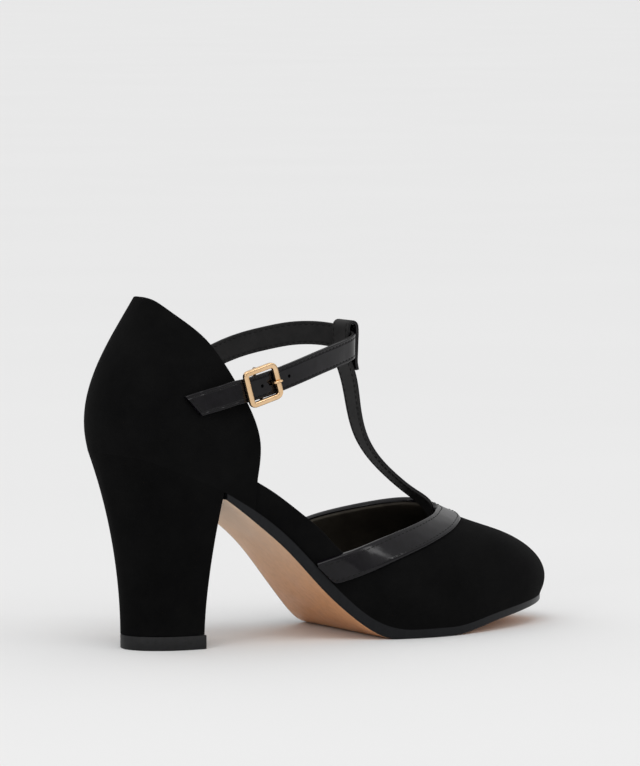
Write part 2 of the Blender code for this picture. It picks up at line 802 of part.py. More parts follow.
def spline_path(knots, step):
    """Points at equal steps on a smooth curve through the knots."""
    along = np.concatenate([[0.0], np.cumsum(np.linalg.norm(np.diff(knots, axis=0), axis=1))])
    dense = spline(along, knots, np.linspace(0.0, along[-1], 1200))
    run = np.concatenate([[0.0], np.cumsum(np.linalg.norm(np.diff(dense[:, :3], axis=0), axis=1))])
    at = np.linspace(0.0, run[-1], int(run[-1] / step) + 1)
    return np.stack([np.interp(at, run, column) for column in dense.T], axis=1)


def ankle_path(sides, step):
    """The ankle strap's middle line and its directions across, outwards and along."""
    rows = np.stack([ANKLE["x"], ANKLE["y"], ANKLE["z"]], axis=1)
    normals = {}
    for i, lift in enumerate(ANKLE["lift"]):
        if lift:
            x, y, z = rows[i]
            place, normals[i] = on_quarter(sides[LATERAL if y < 0 else MEDIAL], x, z)
            rows[i] = place + normals[i] * lift
    hints = np.cross(unit(np.gradient(rows * (1, 1, 0), axis=0)), (0.0, 0.0, 1.0))
    for i, normal in normals.items():
        hints[i] = normal
    path = spline_path(np.concatenate([rows, hints], axis=1), step)
    centre = path[:, :3]
    along = unit(np.gradient(centre, axis=0))
    out = unit(path[:, 3:] - along * (path[:, 3:] * along).sum(axis=1, keepdims=True))
    return centre, np.cross(out, along), out, along


def make_ankle_strap(sides, finish):
    """The strap round the ankle, with a slanted tail and the hole that the prong goes through."""
    centre, across, out, along = ankle_path(sides, 2.6)
    start = np.argmin(np.abs(centre[:20, 0] - TAIL_X))
    centre, across, out, along = (part[start:] for part in (centre, across, out, along))
    fade = np.clip(1 - np.arange(len(centre)) / 3, 0, 1)[:, None]
    skew = -along * fade * TAIL_SLANT
    points, faces = ribbon(centre, across, out, STRAP_WIDTH, STRAP_THICK, skew)
    return solid("ankle_strap", points, faces, finish)


def make_t_strap(finish):
    """The strap up the instep, folded forwards over the ankle strap."""
    back, front, top = 124.25, 128.55, 133.2
    middle, radius = (back + front) / 2, (front - back) / 2
    rise = np.stack([T_STRAP[name] for name in ("x", "y", "z", "width")], axis=1)
    turn = np.linspace(0.0, np.pi, 7)
    loop = np.stack([
        middle - radius * np.cos(turn), np.zeros(7), top + radius * np.sin(turn), np.full(7, 12.5),
    ], axis=1)
    fold = np.array([
        [front, 0.0, 127.5, 12.5],
        [front - 0.3, -0.1, 121.5, 12.5],
        [128.1, -0.2, 118.0, 12.5],
        [128.7, -0.3, 114.6, 12.4],
    ])
    behind = np.array([[back, -0.1, 121.0, 12.5], [back, 0.0, 128.0, 12.5]])
    path = spline_path(np.concatenate([rise, behind, loop, fold]), 2.4)
    centre, width = path[:, :3], path[:, 3]
    along = unit(np.gradient(centre, axis=0) * (1, 0, 1))
    across = np.broadcast_to(np.array([0.0, 1.0, 0.0]), centre.shape)
    points, faces = ribbon(centre, across, np.cross(across, along), width, T_STRAP_THICK)
    return solid("t_strap", points, faces, finish)


def tube(path, radius, around, closed=False, facing=(0.31, 0.83, 0.46), square=2.0, deep=1.0):
    """Points and faces of a bar with a round or squarish section along a path."""
    along = np.roll(path, -1, axis=0) - np.roll(path, 1, axis=0)
    if not closed:
        along[0], along[-1] = path[1] - path[0], path[-1] - path[-2]
    along = unit(along)
    side = unit(np.cross(along, np.asarray(facing)))
    for i in range(1, len(path)):
        side[i] = unit(side[i - 1] - along[i] * (side[i - 1] @ along[i]))
    other = np.cross(along, side)
    turn = (np.arange(around) + 0.5) * 2 * np.pi / around
    grow = (np.abs(np.cos(turn)) ** square + np.abs(np.sin(turn)) ** square) ** (-1 / square)
    section = radius * np.stack([np.cos(turn) * grow, deep * np.sin(turn) * grow], axis=1)
    rings = path[:, None] + section[:, :1] * side[:, None] + section[:, 1:] * other[:, None]
    faces = grid_faces(len(path), around, wrap=True)
    if closed:
        last = (len(path) - 1) * around
        faces += [(last + j, last + (j + 1) % around, (j + 1) % around, j) for j in range(around)]
    else:
        last = (len(path) - 1) * around
        faces += [tuple(range(around)), tuple(range(last, last + around))]
    return rings.reshape(-1, 3), faces


def buckle_axes(sides):
    """The buckle's middle on the ankle strap, and its directions along, across and outwards."""
    centre, across, out, along = ankle_path(sides, 1.0)
    i = np.argmin(np.abs(centre[: len(centre) // 2, 0] - BUCKLE_X))
    turn = np.radians(BUCKLE_TURN)
    swung = np.cos(turn) * along[i] + np.sin(turn) * across[i]
    return centre[i], np.stack([swung, np.cross(out[i], swung), out[i]])


def round_corners(corners, radii, steps):
    """A closed outline in the plane with arcs at its corners."""
    found = []
    radii = np.broadcast_to(radii, len(corners))
    for i, corner in enumerate(corners):
        before, after = corners[i - 1], corners[(i + 1) % len(corners)]
        first = corner + unit(before - corner) * radii[i]
        last = corner + unit(after - corner) * radii[i]
        for t in np.linspace(0.0, 1.0, steps):
            found.append((1 - t) ** 2 * first + 2 * t * (1 - t) * corner + t**2 * last)
    return np.array(found)


def combine(name, target, tool, operation):
    """One solid from two by a Boolean; the tool stays hidden."""
    tool.hide_render = True
    tool.display_type = "WIRE"
    modifier = target.modifiers.new(name, "BOOLEAN")
    modifier.operation = operation
    modifier.solver = "EXACT"
    modifier.object = tool


def make_buckle(sides, finish):
    """The frame with its centre bar behind the strap, and the prong through the strap's hole."""
    middle, axes = buckle_axes(sides)
    long, tall = (BUCKLE_LONG - BUCKLE_BAR) / 2, (BUCKLE_TALL - BUCKLE_BAR) / 2
    corners = np.array([[-long, -tall], [long, -tall], [long, tall], [-long, tall]])
    ring = round_corners(corners, (1.6, 2.6, 2.6, 1.6), 5) + (0.0, FRAME_UP)
    ring = np.column_stack([ring, np.full(len(ring), FRAME_LIFT)])
    points, faces = tube(
        middle + ring @ axes, BUCKLE_BAR / 2, 12, True, axes[2], 5.0, BUCKLE_DEEP / BUCKLE_BAR
    )
    frame = solid("buckle_frame", points, faces, finish)
    post = np.array([
        [0.0, tall, FRAME_LIFT], [0.0, tall, -BAR_DEPTH + 0.8], [0.0, tall - 0.8, -BAR_DEPTH],
        [0.0, -tall + 0.8, -BAR_DEPTH], [0.0, -tall, -BAR_DEPTH + 0.8], [0.0, -tall, FRAME_LIFT],
    ]) + (0.0, FRAME_UP, 0.0)
    points, faces = tube(middle + post @ axes, CENTRE_BAR, 8)
    bar = solid("centre_bar_shape", points, faces, finish)
    combine("centre bar", frame, bar, "UNION")
    turn = np.linspace(np.pi, 2 * np.pi, 8)
    reach = CENTRE_BAR + CLEARANCE + PRONG
    hook = np.column_stack([
        reach * np.cos(turn), np.zeros(8), -BAR_DEPTH + reach * np.sin(turn),
    ])
    rest = np.array([
        [2.3, 0.0, -2.0], [3.8, 0.0, -1.7], [4.6, 0.0, -0.5], [4.95, 0.0, 1.2],
        [5.0, 0.0, 2.8], [5.6, 0.0, 4.0], [6.7, 0.0, PRONG_REST], [8.5, 0.0, PRONG_REST],
    ])
    points, faces = tube(middle + np.concatenate([hook, rest]) @ axes, PRONG, 8)
    solid("buckle_prong", points, faces, finish)
    first, last = PRONG_HOLE
    hole = np.array([[first, -1.1], [last, -1.1], [last, 1.1], [first, 1.1]])
    hole = round_corners(hole, 0.9, 4)
    return prism("prong_hole", hole, -1.6, 1.6, middle, axes, finish)


def prism(name, outline_points, low, high, middle, axes, finish):
    """A block with the given outline along and across, between two heights outwards."""
    count = len(outline_points)
    rows = [np.column_stack([outline_points, np.full(count, level)]) for level in (low, high)]
    faces = grid_faces(2, count, wrap=True)
    faces += [tuple(range(count)), tuple(range(count, 2 * count))]
    return solid(name, middle + np.concatenate(rows) @ axes, faces, finish)


def make_tab(sides, finish):
    """The tab on the counter, wrapped round the centre bar, with a slot for the prong."""
    middle, axes = buckle_axes(sides)
    centre, across, out, along = ankle_path(sides, 1.1)
    near = centre[:, 0] * (centre[:, 1] < 0) + 999 * (centre[:, 1] >= 0)
    keep = (near > TAB_REAR_X) & (near < BUCKLE_X - 0.5)
    centre, across, out, along = (part[keep] for part in (centre, across, out, along))
    reach = (centre - middle) @ axes[0]
    drop = np.interp(reach, [-8.0, -1.8], [TAB_DROP, BAR_DEPTH])
    centre = centre - out * drop[:, None]
    points, faces = ribbon(centre, across, out, TAB_WIDTH, TAB_THICK)
    tab = solid("buckle_tab", points, faces, finish)
    turn = np.linspace(0.0, 2 * np.pi, 20, endpoint=False)
    inner, outer = CENTRE_BAR + CLEARANCE, CENTRE_BAR + CLEARANCE + TAB_THICK / 2
    swung = np.stack([axes[0], axes[2], axes[1]])
    at = middle - axes[2] * BAR_DEPTH
    half = TAB_WIDTH / 2
    circle = np.stack([np.cos(turn), np.sin(turn)], axis=1)
    ring = prism("tab_loop", circle * outer, -half, half, at, swung, finish)
    bore = prism("tab_bore", circle * inner, -half - 3, half + 3, at, swung, finish)
    gap = CENTRE_BAR + CLEARANCE + PRONG * 2 + 1.6
    slot = np.array([[-gap, -1.2], [gap, -1.2], [gap, 1.2], [-gap, 1.2]])
    cut = prism("prong_slot", slot, -BAR_DEPTH - 4.0, -BAR_DEPTH + 4.0, middle, axes, finish)
    combine("loop", tab, ring, "UNION")
    combine("bore", tab, bore, "DIFFERENCE")
    combine("slot", tab, cut, "DIFFERENCE")


def clear_scene():
    """Empties the scene of what it opened with."""
    for thing in list(bpy.data.objects):
        bpy.data.objects.remove(thing, do_unlink=True)


def main():
    clear_scene()
    suede = material("suede", (0.012, 0.012, 0.013), 0.92)
    patent = material("patent", (0.02, 0.02, 0.022), 0.12)
    leather = material("sole leather", (0.50, 0.27, 0.13), 0.45)
    gold = material("gold plating", (0.68, 0.42, 0.2), 0.2, 1.0)
    rubber = material("top piece rubber", (0.03, 0.03, 0.03), 0.4)
    lining = material("insole lining", (0.03, 0.025, 0.02), 0.6)
    sides = [skin_samples(LATERAL), skin_samples(MEDIAL)]
    both = tuple(np.concatenate(pair) for pair in zip(*sides))
    make_outsole(leather)
    make_insole(lining)
    make_upper(suede)
    make_heel(suede, rubber)
    make_trim(both, patent)
    strap = make_ankle_strap(sides, patent)
    make_t_strap(patent)
    combine("hole", strap, make_buckle(sides, gold), "DIFFERENCE")
    make_tab(sides, patent)


main()
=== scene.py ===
"""The looks of a right shoe in black suede with patent straps and a covered block heel.

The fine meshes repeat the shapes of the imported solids. Tables and sizes are in millimetres, with x
measured from the plane behind the heel, and the scene is in metres.
"""

import bmesh
import bpy
import numpy as np
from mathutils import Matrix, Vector


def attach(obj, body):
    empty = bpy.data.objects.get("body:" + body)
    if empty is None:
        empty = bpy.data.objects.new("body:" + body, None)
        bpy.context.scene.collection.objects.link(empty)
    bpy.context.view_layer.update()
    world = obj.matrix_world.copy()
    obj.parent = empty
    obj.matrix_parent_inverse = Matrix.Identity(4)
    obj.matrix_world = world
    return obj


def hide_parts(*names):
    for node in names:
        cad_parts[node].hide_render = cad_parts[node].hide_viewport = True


MM = 0.001
WELD = 2e-6
TREAD_X = 30.0
CLEARANCE = 0.3

# Sizes that the solids have too
WALL = 1.5
OVERLAY = 0.9
TRIM_WIDTH = 10.5
TRIM_THICK = 0.9
TRIM_GAP = 0.5
INSOLE_THICK = 2.0
INNER_NARROWER = 0.955
BREAST_X = 52.5
BALL_FLAT = (132.0, 158.0)
NOTCH_X = 67.5
WING_X = 108.0
TRIM_REAR_X = 97.5
THROAT_X = 173.0
LIFT_THICK = 6.0
STRAP_THICK = 1.6
STRAP_WIDTH = 10.2
TAIL_X = 33.3
TAIL_SLANT = 2.9
TAB_THICK = 1.6
TAB_WIDTH = 8.6
T_STRAP_THICK = 1.5
BUCKLE_LONG = 17.0
BUCKLE_TALL = 16.2
BUCKLE_BAR = 2.4
BUCKLE_DEEP = 2.1
BUCKLE_TURN = 3.0
CENTRE_BAR = 0.7
PRONG = 0.6
BUCKLE_X = 67.3
FRAME_LIFT = 2.3
FRAME_UP = 0.7
BAR_DEPTH = 3.0
PRONG_REST = 4.3
PRONG_HOLE = (3.5, 6.1)
TAB_REAR_X = 47.0
TAB_DROP = 1.85
SKIN_STEP = 1.6
LOOP_BACK = 124.25
LOOP_FRONT = 128.55
LOOP_TOP = 133.2
LOOP_WIDTH = 12.5
HEEL_TREAD_X = (15.7, 45.6)
HEEL_TREAD_HALF = 18.2

# Sizes of the fine surface
ROWS = 30
LIP = 0.6
CUT_ROUND = 0.5
SOLE_EDGE_ROUND = 0.9
EDGE_ROUND = 0.35
STITCH_PITCH = 2.5
STITCH_LENGTH = 1.75
STITCH_IN = 1.3
THREAD = 0.19
HOLE_PITCH = 7.3
HOLE_WIDE = 1.5
HOLE_FLOOR = -0.3
SLOT_FLOOR = -0.4
SLOT_HALF = 1.1
SLOT_ROUND = 0.9
GROOVE_HALF = 0.3
GROOVE_DEEP = 0.1
JOINT_HALF = 0.12
JOINT_DEEP = 0.14
FRAME_CORNERS = (1.6, 2.6, 2.6, 1.6)
FRAME_SQUARE = 4.5
POST_CORNER = 0.8
TAIL_SLANT_REACH = 7.8
TAB_EDGE = 0.25
LIFT_EDGE = 0.3
LIFT_TOP_EDGE = 0.25
PALE_SOLE_X = (15.0, 75.0)
FINE_TOE_X = 212.0
STRAP_STEP = 0.8
SHARP_ANGLE = 50.0

# The camera, the lights and the floor, in metres and degrees
SENSOR = 36.0
FRAME_TALL = 766.0
FOCAL_PIXELS = 5664.0
CAMERA_PLACE = (-1.1977, -2.0742, 0.3133)
CAMERA_PITCH = -4.788
CAMERA_YAW = 31.7015
ROOM_LIGHT = 0.90
KEY_LIGHT = 0.55
PATENT_GLOSS = 0.25
LIGHT_TARGET = (0.08, 0.0, 0.06)
SUN_PLACE = (-0.6, -0.9, 2.2)
SUN_ANGLE = 35.0
STRIPS = (
    ("strip_left", (-1.6, -0.9, 0.9), 2.4, 0.16, 0.7),
    ("strip_front", (0.9, -1.7, 1.1), 2.0, 0.3, 0.5),
)
SKY = [(0.0, 0.45), (0.22, 0.6), (0.45, 1.0), (1.0, 1.0)]
FLOOR_HALF = 60.0

LATERAL, MEDIAL = 0, 1


def table(text):
    """The columns of a small table, by the names in its first line."""
    rows = [line.split() for line in text.strip().splitlines()]
    columns = zip(*[[float(word) for word in row] for row in rows[1:]])
    return dict(zip(rows[0], map(np.array, columns)))


# The sole's outline seen from above, as the outer and inner side's y at each x.
OUTLINE = table("""
x      outer   inner
1.5     0.0     0.0
5.2   -12.6    12.3
13.0  -21.0    20.4
26.0  -25.0    24.4
42.0  -24.6    23.4
58.0  -23.1    21.0
75.0  -22.1    21.0
92.0  -22.9    23.4
108.0 -25.9    28.8
124.0 -31.4    37.2
139.0 -36.0    42.2
152.0 -37.1    43.0
167.0 -35.6    40.4
182.0 -32.0    36.0
197.0 -26.6    30.2
210.0 -19.9    23.9
220.5 -10.9    16.1
227.4   3.6     3.6
""")

# The line on which the upper sits: the heel's seat, then the top of the sole.
SEAT = table("""
x       z
0.0    85.1
12.0   82.7
25.0   77.9
40.0   72.1
52.5   66.4
60.0   62.4
70.0   56.4
85.0   44.9
100.0  29.6
112.0  17.2
122.0   8.9
131.0   4.9
140.0   3.9
""")
ARCH = table("""
x       z
52.5   63.9
60.0   58.8
70.0   51.4
85.0   38.9
100.0  23.0
112.0  11.4
122.0   3.6
132.0   0.0
""")
TOE_SPRING = table("""
x      low    high
158.0  0.0    3.9
180.0  3.4    7.0
200.0  6.4    9.7
216.0  8.2   11.2
227.4  9.0   11.9
""")

# The upper's walls as ribs. Each row is a rib that stands on the outline at foot and ends at
# x, y, z: flare is how far it leans out at its foot and lean how far it leans in at its end, in
# degrees, and rise and drop are its handles' shares of its length.
QUARTER = table("""
foot   x     y     z      flare  rise  lean  drop
1.5    23.4   0.0  150.1   15    0.36   31   0.36
5.0    24.2   5.6  149.8   15    0.36   30   0.36
10.5   26.9   9.8  148.0   15    0.36   27   0.36
17.0   31.7  13.4  143.9   15    0.36   24   0.36
25.0   38.1  17.0  138.6   16    0.36   19   0.36
33.0   45.3  20.0  131.7   15    0.36   13   0.36
41.0   52.6  22.5  121.4   14    0.36    8   0.36
49.0   60.2  24.4  108.5   14    0.36    4   0.36
55.0   65.0  25.5   98.5   14    0.36    2   0.36
60.0   67.7  26.3   87.0   14    0.36    0   0.36
63.8   67.2  26.1   77.8   14    0.36    0   0.36
67.5   66.2  25.6   71.2   14    0.36    0   0.36
""")
# The waist band's top edge.
BAND = table("""
foot   x     y     z
67.5   66.2  25.6   71.2
74.0   74.4  24.9   66.7
81.0   82.6  24.4   61.3
88.0   90.8  24.5   55.2
95.0   98.8  25.1   48.6
102.0 105.0  26.2   41.8
108.0 109.2  27.8   37.2
""")
# The vamp's ribs run up to the last's ridge, which lies above the opening up to the throat.
VAMP = table("""
foot   x     y     z      flare  rise  lean  drop
103.6 120.0  5.0   85.0   15    0.44   52   0.36
112.0 127.0  5.0   80.6   15    0.44   53   0.36
122.0 135.0  5.0   75.6   15    0.44   55   0.37
132.0 142.8  5.0   70.8   15    0.44   57   0.38
142.0 150.4  5.0   66.0   15    0.44   60   0.39
152.0 158.2  5.0   61.2   15    0.45   64   0.41
162.0 166.0  5.0   56.8   16    0.47   69   0.43
173.0 174.4  5.0   52.4   17    0.50   75   0.46
182.0 181.2  4.9   49.4   18    0.51   79   0.49
191.0 187.4  4.7   46.8   20    0.50   82   0.52
200.0 192.6  4.5   44.8   22    0.47   83   0.54
208.0 196.2  4.2   43.5   24    0.43   82   0.54
216.0 198.5  3.9   42.7   25    0.40   79   0.52
222.3 199.5  3.7   42.4   29    0.38   76   0.50
227.4 199.8  3.6   42.3   31    0.37   73   0.48
""")
# The height of the vamp's top edge on the ribs that the opening cuts.
TOPLINE = table("""
foot   outer  inner
108.0  37.2   37.8
115.0  39.2   41.1
123.0  41.6   45.1
132.0  44.0   48.2
142.0  46.5   50.8
152.0  48.5   53.2
162.0  50.2   54.5
168.5  51.0   53.5
171.8  51.3   52.5
173.0  52.4   52.4
""")
# The ankle strap's middle line. Rows with a lift lie that far off the quarter, outer side first,
# and their y is left to the quarter's surface.
ANKLE = table("""
x      y      z      lift
26.0   -1.0   102.8  1.2
33.3   -1.0   104.5  1.2
40.0   -1.0   105.9  1.5
46.0   -1.0   107.1  2.95
51.0   -1.0   108.2  3.15
55.0   -1.0   109.1  3.25
60.0  -27.6   110.2  0.0
63.5  -27.6   111.0  0.0
67.4  -27.6   111.9  0.0
71.5  -27.5   112.9  0.0
78.0  -26.9   114.6  0.0
90.0  -24.9   117.8  0.0
101.5 -21.2   120.5  0.0
111.0 -17.3   122.4  0.0
118.0 -13.8   123.7  0.0
123.4 -10.4   124.9  0.0
126.1  -6.6   125.8  0.0
126.4   0.0   127.3  0.0
126.1   6.6   128.5  0.0
123.2  11.6   129.3  0.0
118.0  16.8   129.7  0.0
111.0  20.8   129.3  0.0
102.0  23.7   127.8  0.0
90.0   26.0   125.2  0.0
80.0   26.4   122.2  0.0
70.0   25.9   118.3  0.0
63.0   25.4   115.2  0.0
57.0    1.0   112.8  1.4
53.5    1.0   111.5  1.3
50.0    1.0   110.3  1.3
46.0    1.0   109.1  1.3
41.5    1.0   107.9  1.3
37.0    1.0   106.9  1.3
""")
# The T strap's middle line and width, from its end under the vamp up to the ankle strap.
T_STRAP = table("""
x      y      z     width
180.0  2.0    44.0   6.0
176.5  2.0    45.4   6.0
173.2  1.6    46.8   6.0
171.2  1.3    49.1   6.2
169.6  1.3    51.9   7.8
167.4  1.4    54.7  12.0
165.0  2.4    57.0  13.4
161.0  2.9    59.8  12.2
151.7  2.5    66.6  10.2
142.8  1.5    74.3   9.5
134.6  0.5    85.2   9.8
130.0 -0.4    99.2  10.8
127.6 -0.4   111.0  12.2
125.8 -0.2   116.4  12.6
""")


def spline(knots, values, at, start=None, end=None):
    """A cubic spline through the rows, with free ends or with the slope given at an end."""
    knots = np.asarray(knots, float)
    values = np.asarray(values, float)
    at = np.asarray(at, float)
    if values.ndim > 1:
        columns = [spline(knots, column, at, start, end) for column in values.T]
        return np.stack(columns, axis=-1)
    gaps = np.diff(knots)
    rise = np.diff(values) / gaps
    count = len(knots)
    system = np.zeros((count, count))
    right = np.zeros(count)
    for i in range(1, count - 1):
        system[i, i - 1 : i + 2] = gaps[i - 1], 2 * (gaps[i - 1] + gaps[i]), gaps[i]
        right[i] = 3 * (rise[i] - rise[i - 1])
    system[0, 0] = system[-1, -1] = 1.0
    if start is not None:
        system[0, :2] = 2 * gaps[0], gaps[0]
        right[0] = 3 * (rise[0] - start)
    if end is not None:
        system[-1, -2:] = gaps[-1], 2 * gaps[-1]
        right[-1] = 3 * (end - rise[-1])
    bend = np.linalg.solve(system, right)
    slope = rise - gaps * (2 * bend[:-1] + bend[1:]) / 3
    twist = np.diff(bend) / (3 * gaps)
    i = np.clip(np.searchsorted(knots, at) - 1, 0, count - 2)
    t = at - knots[i]
    return values[i] + slope[i] * t + bend[i] * t**2 + twist[i] * t**3


def unit(vectors):
    """The vectors, each scaled to a length of one."""
    return vectors / np.maximum(np.linalg.norm(vectors, axis=-1, keepdims=True), 1e-12)


def outline_knots():
    """The station of each row of the outline, from 0 at the heel to 1 at the toe."""
    outer = np.hypot(np.diff(OUTLINE["x"]), np.diff(OUTLINE["outer"]))
    inner = np.hypot(np.diff(OUTLINE["x"]), np.diff(OUTLINE["inner"]))
    along = np.concatenate([[0.0], np.cumsum(outer + inner)])
    return along / along[-1]


KNOTS = outline_knots()


def outline(side, station):
    """A point of the outline, seen from above, on one side."""
    outer = np.stack([OUTLINE["x"], OUTLINE["outer"]], axis=1)
    inner = np.stack([OUTLINE["x"], OUTLINE["inner"]], axis=1)[::-1]
    loop = np.concatenate([outer[:-1], inner[:-1]])
    turn = np.concatenate([KNOTS[:-1], 2 - KNOTS[::-1][:-1]])
    knots = np.concatenate([turn - 2, turn, turn + 2])
    station = np.asarray(station, float)
    at = station if side == LATERAL else 2 - station
    return spline(knots, np.concatenate([loop] * 3), at)


def station_at(x):
    """The station at which the outline has this x."""
    stations = np.linspace(0.0, 1.0, 801)
    return np.interp(x, outline(LATERAL, stations)[:, 0], stations)


def outward(side, station):
    """The direction straight out of the outline, seen from above."""
    step = 1e-4
    along = outline(side, np.asarray(station) + step) - outline(side, np.asarray(station) - step)
    turned = np.stack([along[..., 1], -along[..., 0]], axis=-1)
    return unit(turned if side == LATERAL else -turned)


def seat_height(x):
    """The height of the seat and of the sole's top at each x."""
    x = np.asarray(x, float)
    rear = spline(SEAT["x"], SEAT["z"], x, end=0.0)
    toe = spline(TOE_SPRING["x"], TOE_SPRING["high"], x, start=0.0)
    return np.where(x < SEAT["x"][-1], rear, np.where(x > BALL_FLAT[1], toe, SEAT["z"][-1]))


def tread_height(x):
    """The height of the sole's underside at each x."""
    x = np.asarray(x, float)
    arch = spline(ARCH["x"], ARCH["z"], x, end=0.0)
    toe = spline(TOE_SPRING["x"], TOE_SPRING["low"], x, start=0.0)
    return np.where(x < BALL_FLAT[0], arch, np.where(x > BALL_FLAT[1], toe, 0.0))


def inset(side, stations, distance):
    """The outline moved inwards by a distance, seen from above."""
    return outline(side, stations) - distance * outward(side, stations)


def table_ribs(rows, side, stations, turn):
    """Each rib's foot, two handles and end, as its table gives them; turn is the y's sign."""
    columns = np.stack([rows[name] for name in list(rows)[1:]], axis=1)
    x, y, z, flare, rise, lean, drop = spline(station_at(rows["foot"]), columns, stations).T
    foot_xy = outline(side, stations)
    foot = np.column_stack([foot_xy, seat_height(foot_xy[:, 0]) + CLEARANCE])
    end = np.stack([x, turn * y, z], axis=1)
    out = np.column_stack([outward(side, stations), np.zeros(len(x))])
    level = (end - foot) * (1, 1, 0)
    sideways = level - (level * out).sum(axis=1, keepdims=True) * out
    length = np.linalg.norm(end - foot, axis=1)[:, None]
    flare, lean, rise, drop = (part[:, None] for part in (flare, lean, rise, drop))
    flare, lean = np.radians(flare), np.radians(lean)
    up = np.array([0.0, 0.0, 1.0])
    first = foot + rise * (length * (np.sin(flare) * out + np.cos(flare) * up) + sideways)
    second = end - drop * (length * (np.cos(lean) * up - np.sin(lean) * out) + sideways)
    return np.stack([foot, first, second, end], axis=1)


def cut_ribs(full, share):
    """The lower part of each rib, as a curve of its own."""
    a, b, c, d = (full[:, i] for i in range(4))
    u = share[:, None]
    ab, bc, cd = a + (b - a) * u, b + (c - b) * u, c + (d - c) * u
    abc, bcd = ab + (bc - ab) * u, bc + (cd - bc) * u
    return np.stack([a, ab, abc, abc + (bcd - abc) * u], axis=1)


def along_ribs(controls, heights):
    """Points on each rib at shares of its length."""
    t = np.asarray(heights, float)
    t = (t if t.ndim > 1 else t[None, :])[..., None]
    s = 1 - t
    a, b, c, d = (controls[:, i, None] for i in range(4))
    return s**3 * a + 3 * s**2 * t * b + 3 * s * t**2 * c + t**3 * d


def vamp_share(side, stations, full):
    """How far up each of the vamp's ribs its top edge lies."""
    rows = TOPLINE["outer" if side == LATERAL else "inner"]
    edge = spline(station_at(TOPLINE["foot"]), rows, stations)
    fine = np.linspace(0.0, 1.0, 401)
    heights = along_ribs(full, fine)[..., 2]
    found = [np.interp(z, np.maximum.accumulate(row), fine) for z, row in zip(edge, heights)]
    return np.where(stations >= station_at(THROAT_X) - 1e-9, 1.0, found)


def rib_controls(panel, side, stations):
    """The four control points of each of a panel's ribs, from the sole to the top edge."""
    stations = np.atleast_1d(np.asarray(stations, float))
    mirror = -1.0 if side == LATERAL else INNER_NARROWER
    if panel == "quarter":
        return table_ribs(QUARTER, side, stations, mirror)
    if panel == "vamp":
        full = table_ribs(VAMP, side, stations, 1.0)
        return cut_ribs(full, vamp_share(side, stations, full))
    ends = station_at(np.array([NOTCH_X, WING_X]))
    back = rib_controls("quarter", side, ends[:1])[0]
    front = rib_controls("vamp", side, ends[1:])[0]
    blend = ((stations - ends[0]) / (ends[1] - ends[0]))[:, None]
    foot_xy = outline(side, stations)
    foot = np.column_stack([foot_xy, seat_height(foot_xy[:, 0]) + CLEARANCE])
    edge = np.stack([BAND["x"], mirror * BAND["y"], BAND["z"]], axis=1)
    edge[0], edge[-1] = back[3], front[3]
    end = spline(station_at(BAND["foot"]), edge, stations)
    first = foot + (1 - blend) * (back[1] - back[0]) + blend * (front[1] - front[0])
    second = end + (1 - blend) * (back[2] - back[3]) + blend * (front[2] - front[3])
    return np.stack([foot, first, second, end], axis=1)


def ribs(panel, side, stations, heights):
    """Points of the last's surface: a row for each station, from the sole up to the edge."""
    return along_ribs(rib_controls(panel, side, stations), heights)


def rib_normals(panel, side, stations, heights):
    """The directions straight out of the last's surface at those points."""
    step = 2e-4
    stations = np.atleast_1d(stations)
    low, high = np.clip(stations - step, 0, 1), np.clip(stations + step, 0, 1)
    along = ribs(panel, side, high, heights) - ribs(panel, side, low, heights)
    t = np.asarray(heights, float)
    up = ribs(panel, side, stations, np.minimum(t + 1e-3, 1)) - ribs(
        panel, side, stations, np.maximum(t - 1e-3, 0)
    )
    if panel == "quarter":
        # The front edge runs nearly along the ribs there, so the foot's direction steadies it.
        level = along - up * (along[..., 2:] / up[..., 2:])
        along = level + 0.6 * along[:, :1] * (1, 1, 0)
    normal = np.cross(along, up) if side == LATERAL else np.cross(up, along)
    return unit(normal)


def skin_samples(side):
    """Points of the last's surface on one side, close together, with their normals."""
    notch, wing = station_at(NOTCH_X), station_at(WING_X)
    spans = {"quarter": (0.0, notch), "band": (notch, wing), "vamp": (wing, 1.0)}
    points, normals = [], []
    for panel, (first, last) in spans.items():
        count = int((last - first) * 330 / SKIN_STEP) + 2
        at = np.linspace(first + 1e-4, last - 1e-4, count)
        heights = np.linspace(0.0, 1.0, int(75 / SKIN_STEP))
        points.append(ribs(panel, side, at, heights).reshape(-1, 3))
        normals.append(rib_normals(panel, side, at, heights).reshape(-1, 3))
    return np.concatenate(points), np.concatenate(normals)


def to_skin(samples, points):
    """The points moved onto the last's surface, and the surface's normals there."""
    places, directions = samples
    moved = np.array(points, float)
    for _ in range(2):
        found = []
        for part in np.array_split(moved, max(1, len(moved) // 200)):
            apart = ((part[:, None] - places[None]) ** 2).sum(axis=-1)
            near = np.argpartition(apart, 4, axis=1)[:, :4]
            weight = 1 / (np.take_along_axis(apart, near, axis=1) + 0.02)
            weight = (weight / weight.sum(axis=1, keepdims=True))[..., None]
            found.append(np.concatenate([
                (places[near] * weight).sum(axis=1),
                (directions[near] * weight).sum(axis=1),
            ], axis=1))
        found = np.concatenate(found)
        normal = unit(found[:, 3:])
        moved = moved - normal * ((moved - found[:, :3]) * normal).sum(axis=1, keepdims=True)
    return moved, normal


def on_quarter(samples, x, z):
    """The point of the quarter at x and z, and its normal, on the side of the samples."""
    places = samples[0]
    nearest = np.argmin((places[:, 0] - x) ** 2 + (places[:, 2] - z) ** 2)
    guess = np.array([[x, places[nearest, 1], z]])
    for _ in range(3):
        found, normal = to_skin(samples, guess)
        guess[0, 1] -= (guess[0] - found[0]) @ normal[0] / normal[0, 1]
    return guess[0], normal[0]


def distances(points):
    """How far along a polyline each of its points lies."""
    return np.concatenate([[0.0], np.cumsum(np.linalg.norm(np.diff(points, axis=0), axis=1))])


def between(points, along, at):
    """The rows of points at other distances along their line."""
    return np.stack([np.interp(at, along, column) for column in points.T], axis=1)


